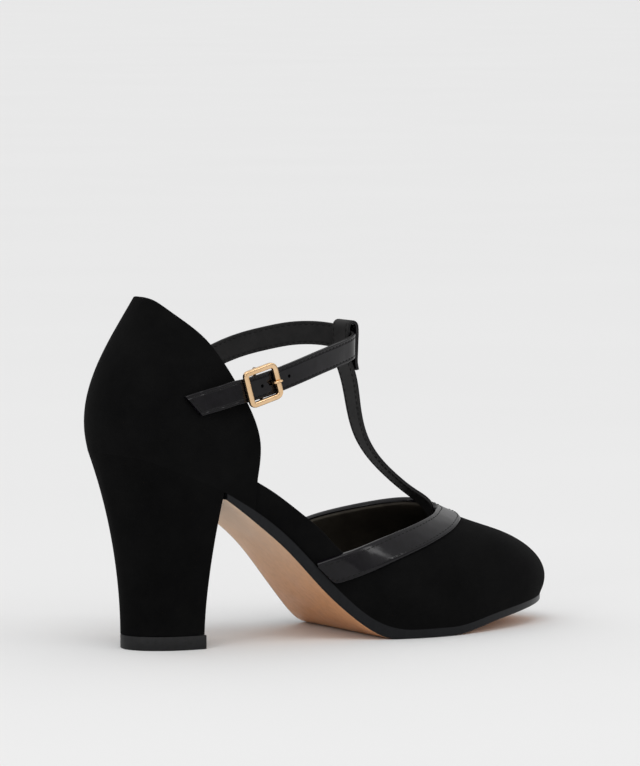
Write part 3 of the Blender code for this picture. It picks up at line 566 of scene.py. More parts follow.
def resample(points, count):
    """Points at equal distances along a polyline."""
    along = distances(points)
    return between(points, along, np.linspace(0.0, along[-1], count))


def softened(points, rounds):
    """A polyline with its corners rounded off, its two ends kept."""
    points = points.copy()
    for _ in range(rounds):
        points[1:-1] = (points[:-2] + 2 * points[1:-1] + points[2:]) / 4
    return points


def grid_faces(rows, columns, start=0, wrap=False):
    """The quads of a grid of points, numbered row by row."""
    found = []
    for i in range(rows - 1):
        for j in range(columns if wrap else columns - 1):
            k = (j + 1) % columns
            a = start + i * columns
            found.append((a + j, a + k, a + columns + k, a + columns + j))
    return found


def eased(first, last, count, ends="both"):
    """Stations from first to last, closer together at the round ends of the outline."""
    t = np.linspace(0.0, 1.0, count)
    if ends == "both":
        t = (1 - np.cos(np.pi * t)) / 2
    elif ends == "start":
        t = 1 - np.cos(np.pi / 2 * t)
    elif ends == "end":
        t = np.sin(np.pi / 2 * t)
    return first + (last - first) * t


def lift_outline(count):
    """The heel's tread: a half ellipse to the back and a straight breast, from side to side."""
    back, front = HEEL_TREAD_X
    turn = np.linspace(-np.pi / 2, np.pi / 2, count)
    x = front - (front - back) * np.cos(turn) ** 0.92
    y = HEEL_TREAD_HALF * np.sin(turn)
    return np.stack([x, y], axis=1)


def trim_edge(samples, count):
    """The trim's upper edge: from the sole outside, round the throat and back inside."""
    throat = station_at(THROAT_X)
    halves = []
    for side in (LATERAL, MEDIAL):
        at = eased(station_at(WING_X), throat, 60, "end")
        top = rib_controls("vamp", side, at)[:, 3]
        rear = outline(side, station_at(TRIM_REAR_X))
        tip = np.array([*rear, seat_height(TRIM_REAR_X) + CLEARANCE + 1.0])
        halves.append(np.concatenate([tip + (top[0] - tip) * np.linspace(0, 0.95, 12)[:, None], top]))
    line = np.concatenate([halves[0], halves[1][::-1][1:]])
    line = softened(resample(line, 240), 14)
    line, _ = to_skin(samples, line)
    return resample(line, count)


def trim_rows(samples, line, rows):
    """Lines across the trim, from its upper edge down, cut off where they reach the sole."""
    along = unit(np.gradient(line, axis=0))
    place, normal = to_skin(samples, line)
    heading = unit(np.cross(along, normal))
    path, steps = [place], 16
    for _ in range(steps):
        heading = unit(heading - normal * (heading * normal).sum(axis=1, keepdims=True))
        place, normal = to_skin(samples, place + heading * TRIM_WIDTH / steps)
        path.append(place)
    path = np.stack([softened(row, 1 + 2 * i) for i, row in enumerate(path)], axis=1)
    floor = seat_height(path[..., 0]) + CLEARANCE + 0.4
    sunk = path[..., 2] < floor
    last = np.where(sunk.any(axis=1), sunk.argmax(axis=1) - 0.5, float(steps))
    shares = np.linspace(0.0, 1.0, rows) * np.maximum(last, 0.6)[:, None]
    low = np.minimum(shares.astype(int), steps - 1)
    part = (shares - low)[..., None]
    index = np.arange(len(path))[:, None]
    across = path[index, low] * (1 - part) + path[index, low + 1] * part
    flat, normals = to_skin(samples, across.reshape(-1, 3))
    return flat.reshape(across.shape), normals.reshape(across.shape)


def spline_path(knots, step):
    """Points at equal steps on a smooth curve through the knots."""
    along = distances(knots)
    dense = spline(along, knots, np.linspace(0.0, along[-1], 1200))
    run = distances(dense[:, :3])
    return between(dense, run, np.linspace(0.0, run[-1], int(run[-1] / step) + 1))


def ankle_path(sides, step):
    """The ankle strap's middle line and its directions across, outwards and along."""
    rows = np.stack([ANKLE["x"], ANKLE["y"], ANKLE["z"]], axis=1)
    normals = {}
    for i, lift in enumerate(ANKLE["lift"]):
        if lift:
            x, y, z = rows[i]
            place, normals[i] = on_quarter(sides[LATERAL if y < 0 else MEDIAL], x, z)
            rows[i] = place + normals[i] * lift
    hints = np.cross(unit(np.gradient(rows * (1, 1, 0), axis=0)), (0.0, 0.0, 1.0))
    for i, normal in normals.items():
        hints[i] = normal
    path = spline_path(np.concatenate([rows, hints], axis=1), step)
    centre = path[:, :3]
    along = unit(np.gradient(centre, axis=0))
    out = unit(path[:, 3:] - along * (path[:, 3:] * along).sum(axis=1, keepdims=True))
    return centre, np.cross(out, along), out, along


def buckle_axes(sides):
    """The buckle's middle on the ankle strap, and its directions along, across and outwards."""
    centre, across, out, along = ankle_path(sides, 1.0)
    i = np.argmin(np.abs(centre[: len(centre) // 2, 0] - BUCKLE_X))
    turn = np.radians(BUCKLE_TURN)
    swung = np.cos(turn) * along[i] + np.sin(turn) * across[i]
    return centre[i], np.stack([swung, np.cross(out[i], swung), out[i]])


def round_corners(corners, radii, steps):
    """A closed outline in the plane with arcs at its corners."""
    found = []
    radii = np.broadcast_to(radii, len(corners))
    for i, corner in enumerate(corners):
        before, after = corners[i - 1], corners[(i + 1) % len(corners)]
        first = corner + unit(before - corner) * radii[i]
        last = corner + unit(after - corner) * radii[i]
        for t in np.linspace(0.0, 1.0, steps):
            found.append((1 - t) ** 2 * first + 2 * t * (1 - t) * corner + t**2 * last)
    return np.array(found)


def material(name, colour, roughness, **settings):
    """A Principled material, its tree and its shader."""
    made = bpy.data.materials.new(name)
    made.use_nodes = True
    tree = made.node_tree
    shader = tree.nodes["Principled BSDF"]
    shader.inputs["Base Color"].default_value = (*colour, 1.0)
    shader.inputs["Roughness"].default_value = roughness
    for socket, value in settings.items():
        shader.inputs[socket.replace("_", " ")].default_value = value
    return made, tree, shader


def noise(tree, scale, detail=3.0, stretch=(1.0, 1.0, 1.0), rough=0.55):
    """A noise texture in the object's own metres."""
    where = tree.nodes.new("ShaderNodeTexCoord")
    mapping = tree.nodes.new("ShaderNodeMapping")
    mapping.inputs["Scale"].default_value = stretch
    texture = tree.nodes.new("ShaderNodeTexNoise")
    texture.inputs["Scale"].default_value = scale
    texture.inputs["Detail"].default_value = detail
    texture.inputs["Roughness"].default_value = rough
    tree.links.new(where.outputs["Object"], mapping.inputs["Vector"])
    tree.links.new(mapping.outputs["Vector"], texture.inputs["Vector"])
    return texture.outputs["Fac"]


def ramp(tree, value, stops):
    """Colours or greys along a value."""
    made = tree.nodes.new("ShaderNodeValToRGB")
    points = made.color_ramp.elements
    while len(points) < len(stops):
        points.new(0.5)
    for point, (at, colour) in zip(points, stops):
        point.position = at
        point.color = (*colour, 1.0) if isinstance(colour, tuple) else (colour, colour, colour, 1.0)
    tree.links.new(value, made.inputs["Fac"])
    return made.outputs["Color"]


def vary(tree, shader, socket, value, stops):
    """Drives one of the shader's sockets by a ramp along a value."""
    tree.links.new(ramp(tree, value, stops), shader.inputs[socket])


def bump(tree, shader, height, depth, below=None):
    """Roughens the surface by a height in millimetres, on top of another bump."""
    made = tree.nodes.new("ShaderNodeBump")
    made.inputs["Strength"].default_value = 1.0
    made.inputs["Distance"].default_value = depth * MM
    tree.links.new(height, made.inputs["Height"])
    if below:
        tree.links.new(below, made.inputs["Normal"])
    tree.links.new(made.outputs["Normal"], shader.inputs["Normal"])
    return made.outputs["Normal"]


def suede_material(name, dark, light):
    """Short black nap, brushed a little lighter and darker in soft patches."""
    made, tree, shader = material(
        name, (dark,) * 3, 1.0, Specular_IOR_Level=0.03, Sheen_Weight=0.012, Sheen_Roughness=0.5
    )
    patches = noise(tree, 45.0, 5.0, rough=0.7)
    vary(tree, shader, "Base Color", patches, [(0.3, (dark, dark, dark * 1.05)), (0.75, light)])
    nap = bump(tree, shader, noise(tree, 2600.0, 4.0, rough=0.75), 0.10)
    bump(tree, shader, noise(tree, 260.0, 3.0), 0.10, nap)
    return made


def patent_material():
    """Black patent with a faint violet cast, its gloss broken by fine creases."""
    made, tree, shader = material(
        "black patent", (0.004, 0.0036, 0.0046), 0.14, Specular_IOR_Level=PATENT_GLOSS
    )
    cloudy = [(0.3, (0.0030, 0.0026, 0.0034)), (0.7, (0.0060, 0.0052, 0.0072))]
    vary(tree, shader, "Base Color", noise(tree, 300.0, 3.0), cloudy)
    vary(tree, shader, "Roughness", noise(tree, 110.0, 2.0), [(0.3, 0.1), (0.75, 0.17)])
    wavy = bump(tree, shader, noise(tree, 95.0, 1.0), 0.3)
    bump(tree, shader, noise(tree, 600.0, 2.0), 0.02, wavy)
    return made


def lining_material(name, dark, light):
    """Smooth dark brown lining leather with fine pores."""
    made, tree, shader = material(name, dark, 0.62, Specular_IOR_Level=0.2)
    vary(tree, shader, "Base Color", noise(tree, 120.0, 5.0), [(0.3, dark), (0.75, light)])
    bump(tree, shader, noise(tree, 1800.0, 3.0), 0.05)
    return made


def sole_material():
    """Tan sole leather: faint fibres along the shoe and a waxed surface."""
    made, tree, shader = material("tan sole leather", (0.50, 0.27, 0.13), 0.42, Coat_Weight=0.08)
    fibres = noise(tree, 420.0, 6.0, (0.16, 1.0, 1.0), 0.65)
    colour = ramp(tree, fibres, [
        (0.25, (0.57, 0.262, 0.110)),
        (0.5, (0.67, 0.325, 0.142)),
        (0.8, (0.76, 0.394, 0.178)),
    ])
    where = tree.nodes.new("ShaderNodeTexCoord")
    parted = tree.nodes.new("ShaderNodeSeparateXYZ")
    spread = tree.nodes.new("ShaderNodeMapRange")
    spread.inputs["From Min"].default_value = PALE_SOLE_X[0] * MM
    spread.inputs["From Max"].default_value = PALE_SOLE_X[1] * MM
    tree.links.new(where.outputs["Object"], parted.inputs["Vector"])
    tree.links.new(parted.outputs["X"], spread.inputs["Value"])
    mixed = tree.nodes.new("ShaderNodeMix")
    mixed.data_type = "RGBA"
    tree.links.new(spread.outputs["Result"], mixed.inputs["Factor"])
    mixed.inputs["A"].default_value = (0.96, 0.68, 0.44, 1.0)
    tree.links.new(colour, mixed.inputs["B"])
    tree.links.new(mixed.outputs["Result"], shader.inputs["Base Color"])
    vary(tree, shader, "Roughness", noise(tree, 70.0, 3.0), [(0.3, 0.36), (0.7, 0.5)])
    bump(tree, shader, fibres, 0.04)
    return made


def painted_material(name, colour, roughness, grain):
    """Paint or rubber with a fine grain."""
    made, tree, shader = material(name, colour, roughness, Specular_IOR_Level=0.16)
    light = tuple(c * 1.5 for c in colour)
    vary(tree, shader, "Base Color", noise(tree, 500.0, 4.0), [(0.3, colour), (0.75, light)])
    bump(tree, shader, noise(tree, 1500.0, 3.0), grain)
    return made


def gold_material():
    """Pale gold plating, softly brushed."""
    made, tree, shader = material("pale gold plating", (0.80, 0.54, 0.30), 0.18, Metallic=1.0)
    vary(tree, shader, "Roughness", noise(tree, 700.0, 4.0), [(0.3, 0.11), (0.75, 0.22)])
    tones = [(0.3, (0.76, 0.50, 0.27)), (0.7, (0.86, 0.60, 0.36))]
    vary(tree, shader, "Base Color", noise(tree, 200.0, 2.0), tones)
    bump(tree, shader, noise(tree, 900.0, 2.0), 0.012)
    return made


def thread_material():
    """Black sewing thread with a twist."""
    made, tree, shader = material("black thread", (0.004, 0.004, 0.005), 0.6, Specular_IOR_Level=0.2)
    twist = noise(tree, 5000.0, 2.0)
    vary(tree, shader, "Base Color", twist, [(0.3, 0.003), (0.7, 0.010)])
    bump(tree, shader, twist, 0.05)
    return made


def add_object(name, data):
    """A new object in the scene."""
    made = bpy.data.objects.new(name, data)
    bpy.context.scene.collection.objects.link(made)
    return made


def new_mesh(name, points, faces):
    """A mesh from points in the tables' millimetres."""
    placed = (np.asarray(points, float) - (TREAD_X, 0.0, 0.0)) * MM
    mesh = bpy.data.meshes.new(name)
    mesh.from_pydata(placed.tolist(), [], [list(map(int, face)) for face in faces])
    return mesh


def smooth(mesh):
    """Smooth shading but for sharp edges."""
    mesh.shade_smooth()
    mesh.set_sharp_from_angle(angle=np.radians(SHARP_ANGLE))


def piece(name, points, faces, finishes, nodes=(), picks=None):
    """One mesh of the shoe from points in millimetres; picks gives each face its finish."""
    mesh = new_mesh(name, points, faces)
    for finish in finishes:
        mesh.materials.append(finish)
    if picks is not None:
        mesh.polygons.foreach_set("material_index", np.asarray(picks, np.int32))
    work = bmesh.new()
    work.from_mesh(mesh)
    bmesh.ops.remove_doubles(work, verts=work.verts, dist=WELD)
    bmesh.ops.dissolve_degenerate(work, edges=work.edges, dist=1e-7)
    bmesh.ops.recalc_face_normals(work, faces=work.faces)
    work.to_mesh(mesh)
    work.free()
    smooth(mesh)
    made = add_object(name, mesh)
    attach(made, "root")
    if nodes:
        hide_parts(*nodes)
    return made


def shifted(faces, start):
    """The faces with their points numbered from start."""
    return [tuple(start + i for i in face) for face in faces]


def wrapped(rings):
    """Points and faces of a row of rings, each end closed by a fan to its ring's middle."""
    rings = np.asarray(rings, float)
    rows, around = rings.shape[:2]
    faces = grid_faces(rows, around, wrap=True)
    ends = np.stack([rings[0].mean(axis=0), rings[-1].mean(axis=0)])
    first, last = rows * around, (rows - 1) * around
    for j in range(around):
        k = (j + 1) % around
        faces.append((j, k, first))
        faces.append((last + j, last + k, first + 1))
    return np.concatenate([rings.reshape(-1, 3), ends]), faces


def looped(rings):
    """Points and faces of a row of rings whose last ring is joined to its first."""
    rows, around = rings.shape[:2]
    last = (rows - 1) * around
    faces = grid_faces(rows, around, wrap=True)
    faces += [(last + j, last + (j + 1) % around, (j + 1) % around, j) for j in range(around)]
    return rings.reshape(-1, 3), faces


def upper_stations():
    """Each panel's stations, close together where the quarter's front edge is rounded."""
    wing, throat = station_at(WING_X), station_at(THROAT_X)
    rounded = station_at(NOTCH_X - CUT_ROUND * (1 - np.sin(np.linspace(0, np.pi / 2, 6))))
    quarter = np.concatenate([
        eased(0.0, station_at(40.0), 34, "start"),
        np.linspace(station_at(40.0), rounded[0], 30)[1:],
        rounded[1:],
    ])
    vamp = np.concatenate([
        eased(wing, throat, 44, "end"),
        np.linspace(throat, station_at(FINE_TOE_X), 34)[1:],
        eased(station_at(FINE_TOE_X), 1.0, 26, "end")[1:],
    ])
    band = np.linspace(station_at(NOTCH_X + 0.04), wing, 36)
    return {"quarter": quarter, "band": band, "vamp": vamp[1:]}, len(quarter) + len(band) + 42


def proud(panel, stations):
    """How far each rib's outer face stands off the last's surface: the band lies deeper."""
    x = outline(LATERAL, stations)[:, 0]
    if panel == "quarter":
        into = np.clip((x - NOTCH_X + CUT_ROUND) / CUT_ROUND, 0.0, 1.0)
        return -CUT_ROUND * (1 - np.sqrt(1 - into**2))
    if panel == "band":
        return -OVERLAY * np.clip((WING_X - x) / (WING_X - TRIM_REAR_X), 0.0, 1.0)
    return np.zeros(len(stations))


def upper_skin():
    """Both sides' points on the last, their normals, each row's offset and the throat's index."""
    panels, throat = upper_stations()
    lift = np.concatenate([proud(panel, at) for panel, at in panels.items()])
    skin = []
    last, first = station_at(THROAT_X), station_at(WING_X)
    for side in (LATERAL, MEDIAL):
        places, normals = [], []
        for panel, at in panels.items():
            controls = rib_controls(panel, side, at)
            length = np.linalg.norm(controls[:, 3] - controls[:, 0], axis=1)
            fade = np.clip((last - at) / (last - first), 0, 1) if panel == "vamp" else np.ones(len(at))
            top = 1 - fade * LIP / length
            heights = np.linspace(0.0, 1.0, ROWS)[None] * top[:, None]
            places.append(ribs(panel, side, at, heights))
            normals.append(rib_normals(panel, side, at, heights))
        skin.append([np.concatenate(places), np.concatenate(normals)])
    skin = np.array(skin)
    for shared in (np.s_[:, :, 0], np.s_[:, :, -1], np.s_[:, :, throat:, -1]):
        skin[shared] = skin[shared].mean(axis=0, keepdims=True)
    return skin[:, 0], unit(skin[:, 1]), lift, throat


def lip_points(outer, inner, throat):
    """Points that round the wall's top edge over, for both sides up to the throat."""
    count = throat + 1
    ends = [np.concatenate([part[LATERAL, :count, -1], part[MEDIAL, 1:throat, -1][::-1]])
            for part in (outer, inner)]
    middle = (ends[0] + ends[1]) / 2
    across = (ends[0] - ends[1]) / 2
    along = unit(np.roll(middle, -1, axis=0) - np.roll(middle, 1, axis=0))
    over = unit(np.cross(across, along))
    turn = np.linspace(0.0, np.pi, 9)[1:-1]
    arcs = middle[:, None] + across[:, None] * np.cos(turn)[None, :, None]
    arcs = arcs + over[:, None] * LIP * np.sin(turn)[None, :, None]
    lateral = arcs[:count]
    medial = np.concatenate([arcs[:1], arcs[count:][::-1], arcs[count - 1 : count]])
    return lateral, medial


def make_upper(suede, lining):
    """The hollow wall: suede outside and over half of the edge, lining inside."""
    places, normals, lift, throat = upper_skin()
    outer = places + normals * lift[None, :, None, None]
    inner = places - normals * (WALL + OVERLAY)
    outer[:, :, 0, 2] -= CLEARANCE
    inner[:, :, 0, 2] -= CLEARANCE
    lips = lip_points(outer, inner, throat)
    points, faces, picks = [], [], []
    round_count = lips[0].shape[1]
    wide = 2 * ROWS + round_count
    for side in (LATERAL, MEDIAL):
        edge = (outer[side, :, -1:] + inner[side, :, -1:]) / 2
        edge = np.repeat(edge, round_count, axis=1)
        edge[: throat + 1] = lips[side]
        rings = np.concatenate([outer[side], edge, inner[side, :, ::-1]], axis=1)
        start = side * rings.shape[0] * wide
        points.append(rings.reshape(-1, 3))
        for i in range(len(rings) - 1):
            for j in range(wide):
                if i >= throat and ROWS - 1 <= j < ROWS + round_count:
                    continue
                a, b = start + i * wide, start + (i + 1) * wide
                k = (j + 1) % wide
                faces.append((a + j, a + k, b + k, b + j))
                picks.append(0 if j < ROWS + round_count // 2 or j == wide - 1 else 1)
    return piece("upper_suede_and_lining", np.concatenate(points), faces, [suede, lining],
                 ["upper"], picks)


def strap_section(half, thick, count):
    """Corners of a strap's section: rounded edges, a sewn groove and the two layers' joint."""
    r = EDGE_ROUND
    corner = np.linspace(0.0, np.pi / 2, 5)
    groove = half - STITCH_IN
    flat = groove - 0.8
    sewn = [(-GROOVE_HALF, thick), (0.0, thick - GROOVE_DEEP), (GROOVE_HALF, thick)]
    top = [(v - groove, n) for v, n in sewn]
    top += [(v, thick) for v in np.linspace(-flat, flat, count)]
    top += [(v + groove, n) for v, n in sewn]
    right = [(half - r + r * np.sin(t), thick - r + r * np.cos(t)) for t in corner]
    side = [(half, JOINT_HALF), (half - JOINT_DEEP, 0.0), (half, -JOINT_HALF)]
    lower = [(v, -n) for v, n in right[::-1]]
    bottom = [(v, -n) for v, n in top[::-1]]
    left = [(-v, n) for v, n in (right + side + lower)][::-1]
    return np.array(top + right + side + lower + bottom + left)


def fine_ribbon(centre, across, out, width, thick, skew=None, count=9):
    """Points and faces of a strap with a finely shaped section."""
    half = np.broadcast_to(np.asarray(width, float) / 2, len(centre))
    skew = np.zeros((len(centre), 3)) if skew is None else skew
    rings = []
    for i in range(len(centre)):
        section = strap_section(half[i], thick / 2, count)
        lean = section[:, :1] / half[i] * skew[i]
        rings.append(centre[i] + section[:, :1] * across[i] + section[:, 1:] * out[i] + lean)
    rows, around = len(rings), len(rings[0])
    points, faces = wrapped(rings)
    inside = strap_section(half[0], thick / 2, count)[:, 1] <= 0.0
    inside = inside & np.roll(inside, -1)
    picks = [int(inside[k % around]) for k in range((rows - 1) * around)]
    picks += [0] * (len(faces) - len(picks))
    return points, faces, picks


def stitch(start, end, normal):
    """Points of one stitch: a rounded thread that dips in at both ends."""
    along = end - start
    side = unit(np.cross(normal, along))
    turn = np.linspace(0.0, 2 * np.pi, 8, endpoint=False)
    rings = []
    half = ((0.0, 0.35, -0.16), (0.12, 0.9, 0.0), (0.35, 1.05, 0.09))
    for t, size, dip in half + tuple((1 - t, size, dip) for t, size, dip in half[::-1]):
        middle = start + along * t + normal * dip
        rings.append(middle + THREAD * size * (
            np.cos(turn)[:, None] * side + np.sin(turn)[:, None] * normal * 0.8))
    return np.array(rings)


def make_stitches(name, lines, finish):
    """A row of stitches along each line, given as its points and the normals there."""
    points, faces, start = [], [], 0
    for line, normals in lines:
        run = distances(line)
        count = max(1, int(run[-1] / STITCH_PITCH))
        at = np.linspace(0.0, run[-1], count, endpoint=False) + (run[-1] / count - STITCH_LENGTH) / 2
        for first in at:
            ends = between(line, run, (first, first + STITCH_LENGTH))
            normal = unit(between(normals, run, [first + STITCH_LENGTH / 2])[0])
            flat, found = wrapped(stitch(*ends, normal))
            points.append(flat)
            faces += shifted(found, start)
            start += len(flat)
    return piece(name, np.concatenate(points), faces, [finish])


def make_trim(samples, patent, thread):
    """The patent strip rolled over the vamp's top edge, with a row of stitches at each side."""
    count, rows = 320, 13
    line = trim_edge(samples, count)
    places, normals = trim_rows(samples, line, rows)
    for _ in range(8):
        places[1:-1] = (places[:-2] + 2 * places[1:-1] + places[2:]) / 4
        normals[1:-1] = unit((normals[:-2] + 2 * normals[1:-1] + normals[2:]) / 4)
    along = unit(np.gradient(places[:, 0], axis=0))
    over = unit(np.cross(normals[:, 0], along))
    deep = (WALL + OVERLAY) / 2
    height = TRIM_GAP + TRIM_THICK
    middle = places[:, 0] - normals[:, 0] * deep
    turn = np.linspace(0.0, np.pi / 2, 9)[:-1, None, None]
    arcs = []
    for reach, rise in ((LIP + 0.55, deep + height), (LIP + 0.15, deep + 0.1)):
        arc = middle + over * reach * np.cos(turn) + normals[:, 0] * rise * np.sin(turn)
        arcs.append(arc.swapaxes(0, 1))
    roll, tuck = arcs[0], arcs[1][:, ::-1]
    rise = np.full(rows, height)
    rise[-1] -= EDGE_ROUND
    crown = places + normals * rise[None, :, None]
    down = unit(places[:, -1] - places[:, -2])
    corner = places[:, -1] + down * EDGE_ROUND
    edge = np.stack([
        corner + normals[:, -1] * (height - EDGE_ROUND * 2.2), corner + normals[:, -1] * 0.5,
        places[:, -1] + normals[:, -1] * 0.05,
    ], axis=1)
    under = places[:, ::-1][:, 1:] + normals[:, ::-1][:, 1:] * 0.05
    rings = np.concatenate([roll, crown, edge, under, tuck], axis=1)
    flat, faces = wrapped(rings)
    piece("vamp_trim_patent", flat, faces, [patent], ["vamp_binding"])
    lines = []
    wide = np.linalg.norm(np.diff(places, axis=1), axis=2).sum(axis=1)
    keep = wide > 4 * STITCH_IN
    for share in (STITCH_IN / TRIM_WIDTH, 1 - STITCH_IN / TRIM_WIDTH):
        j = share * (rows - 1)
        low, part = int(j), j - int(j)
        line = places[:, low] * (1 - part) + places[:, low + 1] * part
        lines.append(((line + normals[:, low] * height)[keep], normals[:, low][keep]))
    make_stitches("vamp_trim_stitches", lines, thread)


def edge_lines(centre, across, out, half, thick, skew, inset_ends):
    """Stitch lines along a strap's two edges, first on its outer face, then on its inner."""
    lines = []
    kept = slice(inset_ends, len(centre) - inset_ends)
    for face in (1, -1):
        for v in (-1, 1):
            reach = v * (half - STITCH_IN)
            line = centre + across * reach[:, None] + out * face * thick / 2
            line = line + skew * (reach / half)[:, None]
            lines.append((line[kept], out[kept] * face))
    return lines


def cut_holes(strap, holes):
    """Cuts the holes out of a strap with exact Booleans, and applies them."""
    for i, (points, faces) in enumerate(holes):
        mesh = new_mesh(f"hole_{i}", points, faces)
        work = bmesh.new()
        work.from_mesh(mesh)
        bmesh.ops.recalc_face_normals(work, faces=work.faces)
        work.to_mesh(mesh)
        work.free()
        tool = add_object(f"hole_{i}", mesh)
        cut = strap.modifiers.new("hole", "BOOLEAN")
        cut.operation = "DIFFERENCE"
        cut.solver = "EXACT"
        cut.object = tool
        graph = bpy.context.evaluated_depsgraph_get()
        made = bpy.data.meshes.new_from_object(strap.evaluated_get(graph))
        strap.modifiers.clear()
        old = strap.data
        strap.data = made
        bpy.data.meshes.remove(old)
        bpy.data.objects.remove(tool)
    smooth(strap.data)


def block(outline_points, low, high, middle, axes):
    """Points and faces of a block with an outline along and across, between two heights out."""
    count = len(outline_points)
    rows = [np.column_stack([outline_points, np.full(count, level)]) for level in (low, high)]
    faces = grid_faces(2, count, wrap=True)
    faces += [tuple(range(count)), tuple(range(count, 2 * count))]
    return middle + np.concatenate(rows) @ axes, faces


def make_ankle_strap(sides, patent, lining, thread):
    """The strap round the ankle with its slanted tail, holes and sewn edges."""
    centre, across, out, along = ankle_path(sides, STRAP_STEP)
    start = np.argmin(np.abs(centre[:80, 0] - TAIL_X))
    centre, across, out, along = (part[start:] for part in (centre, across, out, along))
    fade = np.clip(1 - np.arange(len(centre)) * STRAP_STEP / TAIL_SLANT_REACH, 0, 1)[:, None]
    skew = -along * fade * TAIL_SLANT
    points, faces, picks = fine_ribbon(centre, across, out, STRAP_WIDTH, STRAP_THICK, skew)
    strap = piece("ankle_strap_patent", points, faces, [patent, lining],
                  ["ankle_strap"], picks)
    middle, axes = buckle_axes(sides)
    first, last = PRONG_HOLE
    slot = np.array([[first, -1], [last, -1], [last, 1], [first, 1]]) * (1, SLOT_HALF)
    slot = round_corners(slot, SLOT_ROUND, 6)
    holes = [block(slot, SLOT_FLOOR, STRAP_THICK, middle, axes)]
    turn = np.linspace(0.0, 2 * np.pi, 24, endpoint=False)
    circle = np.stack([np.cos(turn), np.sin(turn)], axis=1) * HOLE_WIDE / 2
    for reach in (0.0, 2 * HOLE_PITCH):
        i = np.argmin(np.abs((centre[: len(centre) // 2] - middle) @ axes[0] - reach))
        own = np.stack([along[i], across[i], out[i]])
        holes.append(block(circle, HOLE_FLOOR, STRAP_THICK, centre[i], own))
    cut_holes(strap, holes)
    half = np.full(len(centre), STRAP_WIDTH / 2)
    i = 2
    lines = edge_lines(centre, across, out, half, STRAP_THICK, skew, i)
    share = np.linspace(-1, 1, 12)[:, None] * (STRAP_WIDTH / 2 - STITCH_IN)
    tail = centre[i] + across[i] * share + out[i] * STRAP_THICK / 2
    tail = tail + skew[i] * share / (STRAP_WIDTH / 2)
    lines.append((tail, np.repeat(out[i][None], 12, axis=0)))
    make_stitches("ankle_strap_stitches", lines, thread)


def make_t_strap(patent, lining, thread):
    """The strap up the instep, folded forwards over the ankle strap."""
    middle, radius = (LOOP_BACK + LOOP_FRONT) / 2, (LOOP_FRONT - LOOP_BACK) / 2
    rise = np.stack([T_STRAP[name] for name in ("x", "y", "z", "width")], axis=1)
    turn = np.linspace(0.0, np.pi, 7)
    loop = np.stack([
        middle - radius * np.cos(turn), np.zeros(7), LOOP_TOP + radius * np.sin(turn),
        np.full(7, LOOP_WIDTH),
    ], axis=1)
    fold = np.array([
        [LOOP_FRONT, 0.0, 127.5, LOOP_WIDTH],
        [LOOP_FRONT - 0.3, -0.1, 121.5, LOOP_WIDTH],
        [128.1, -0.2, 118.0, LOOP_WIDTH],
        [128.7, -0.3, 114.6, 12.4],
    ])
    behind = np.array([[LOOP_BACK, -0.1, 121.0, LOOP_WIDTH], [LOOP_BACK, 0.0, 128.0, LOOP_WIDTH]])
    path = spline_path(np.concatenate([rise, behind, loop, fold]), STRAP_STEP)
    centre, width = path[:, :3], path[:, 3]
    along = unit(np.gradient(centre, axis=0) * (1, 0, 1))
    across = np.broadcast_to(np.array([0.0, 1.0, 0.0]), centre.shape)
    out = np.cross(across, along)
    points, faces, picks = fine_ribbon(centre, across, out, width, T_STRAP_THICK)
    piece("t_strap_patent", points, faces, [patent, lining], ["t_strap"], picks)
    skew = np.zeros((len(centre), 3))
    lines = edge_lines(centre, across, out, width / 2, T_STRAP_THICK, skew, 22)
    make_stitches("t_strap_stitches", lines, thread)


def tube(path, radius, around, closed=False, facing=(0.31, 0.83, 0.46), square=2.0, deep=1.0):
    """Points and faces of a bar with a round or squarish section along a path."""
    along = np.roll(path, -1, axis=0) - np.roll(path, 1, axis=0)
    if not closed:
        along[0], along[-1] = path[1] - path[0], path[-1] - path[-2]
    along = unit(along)
    side = unit(np.cross(along, np.asarray(facing)))
    for i in range(1, len(path)):
        side[i] = unit(side[i - 1] - along[i] * (side[i - 1] @ along[i]))
    other = np.cross(along, side)
    turn = (np.arange(around) + 0.5) * 2 * np.pi / around
    grow = (np.abs(np.cos(turn)) ** square + np.abs(np.sin(turn)) ** square) ** (-1 / square)
    radii = np.broadcast_to(np.asarray(radius, float), len(path))[:, None, None]
    section = np.stack([np.cos(turn) * grow, deep * np.sin(turn) * grow], axis=1)
    rings = path[:, None] + radii * (section[:, :1] * side[:, None] + section[:, 1:] * other[:, None])
    return looped(rings) if closed else wrapped(rings)


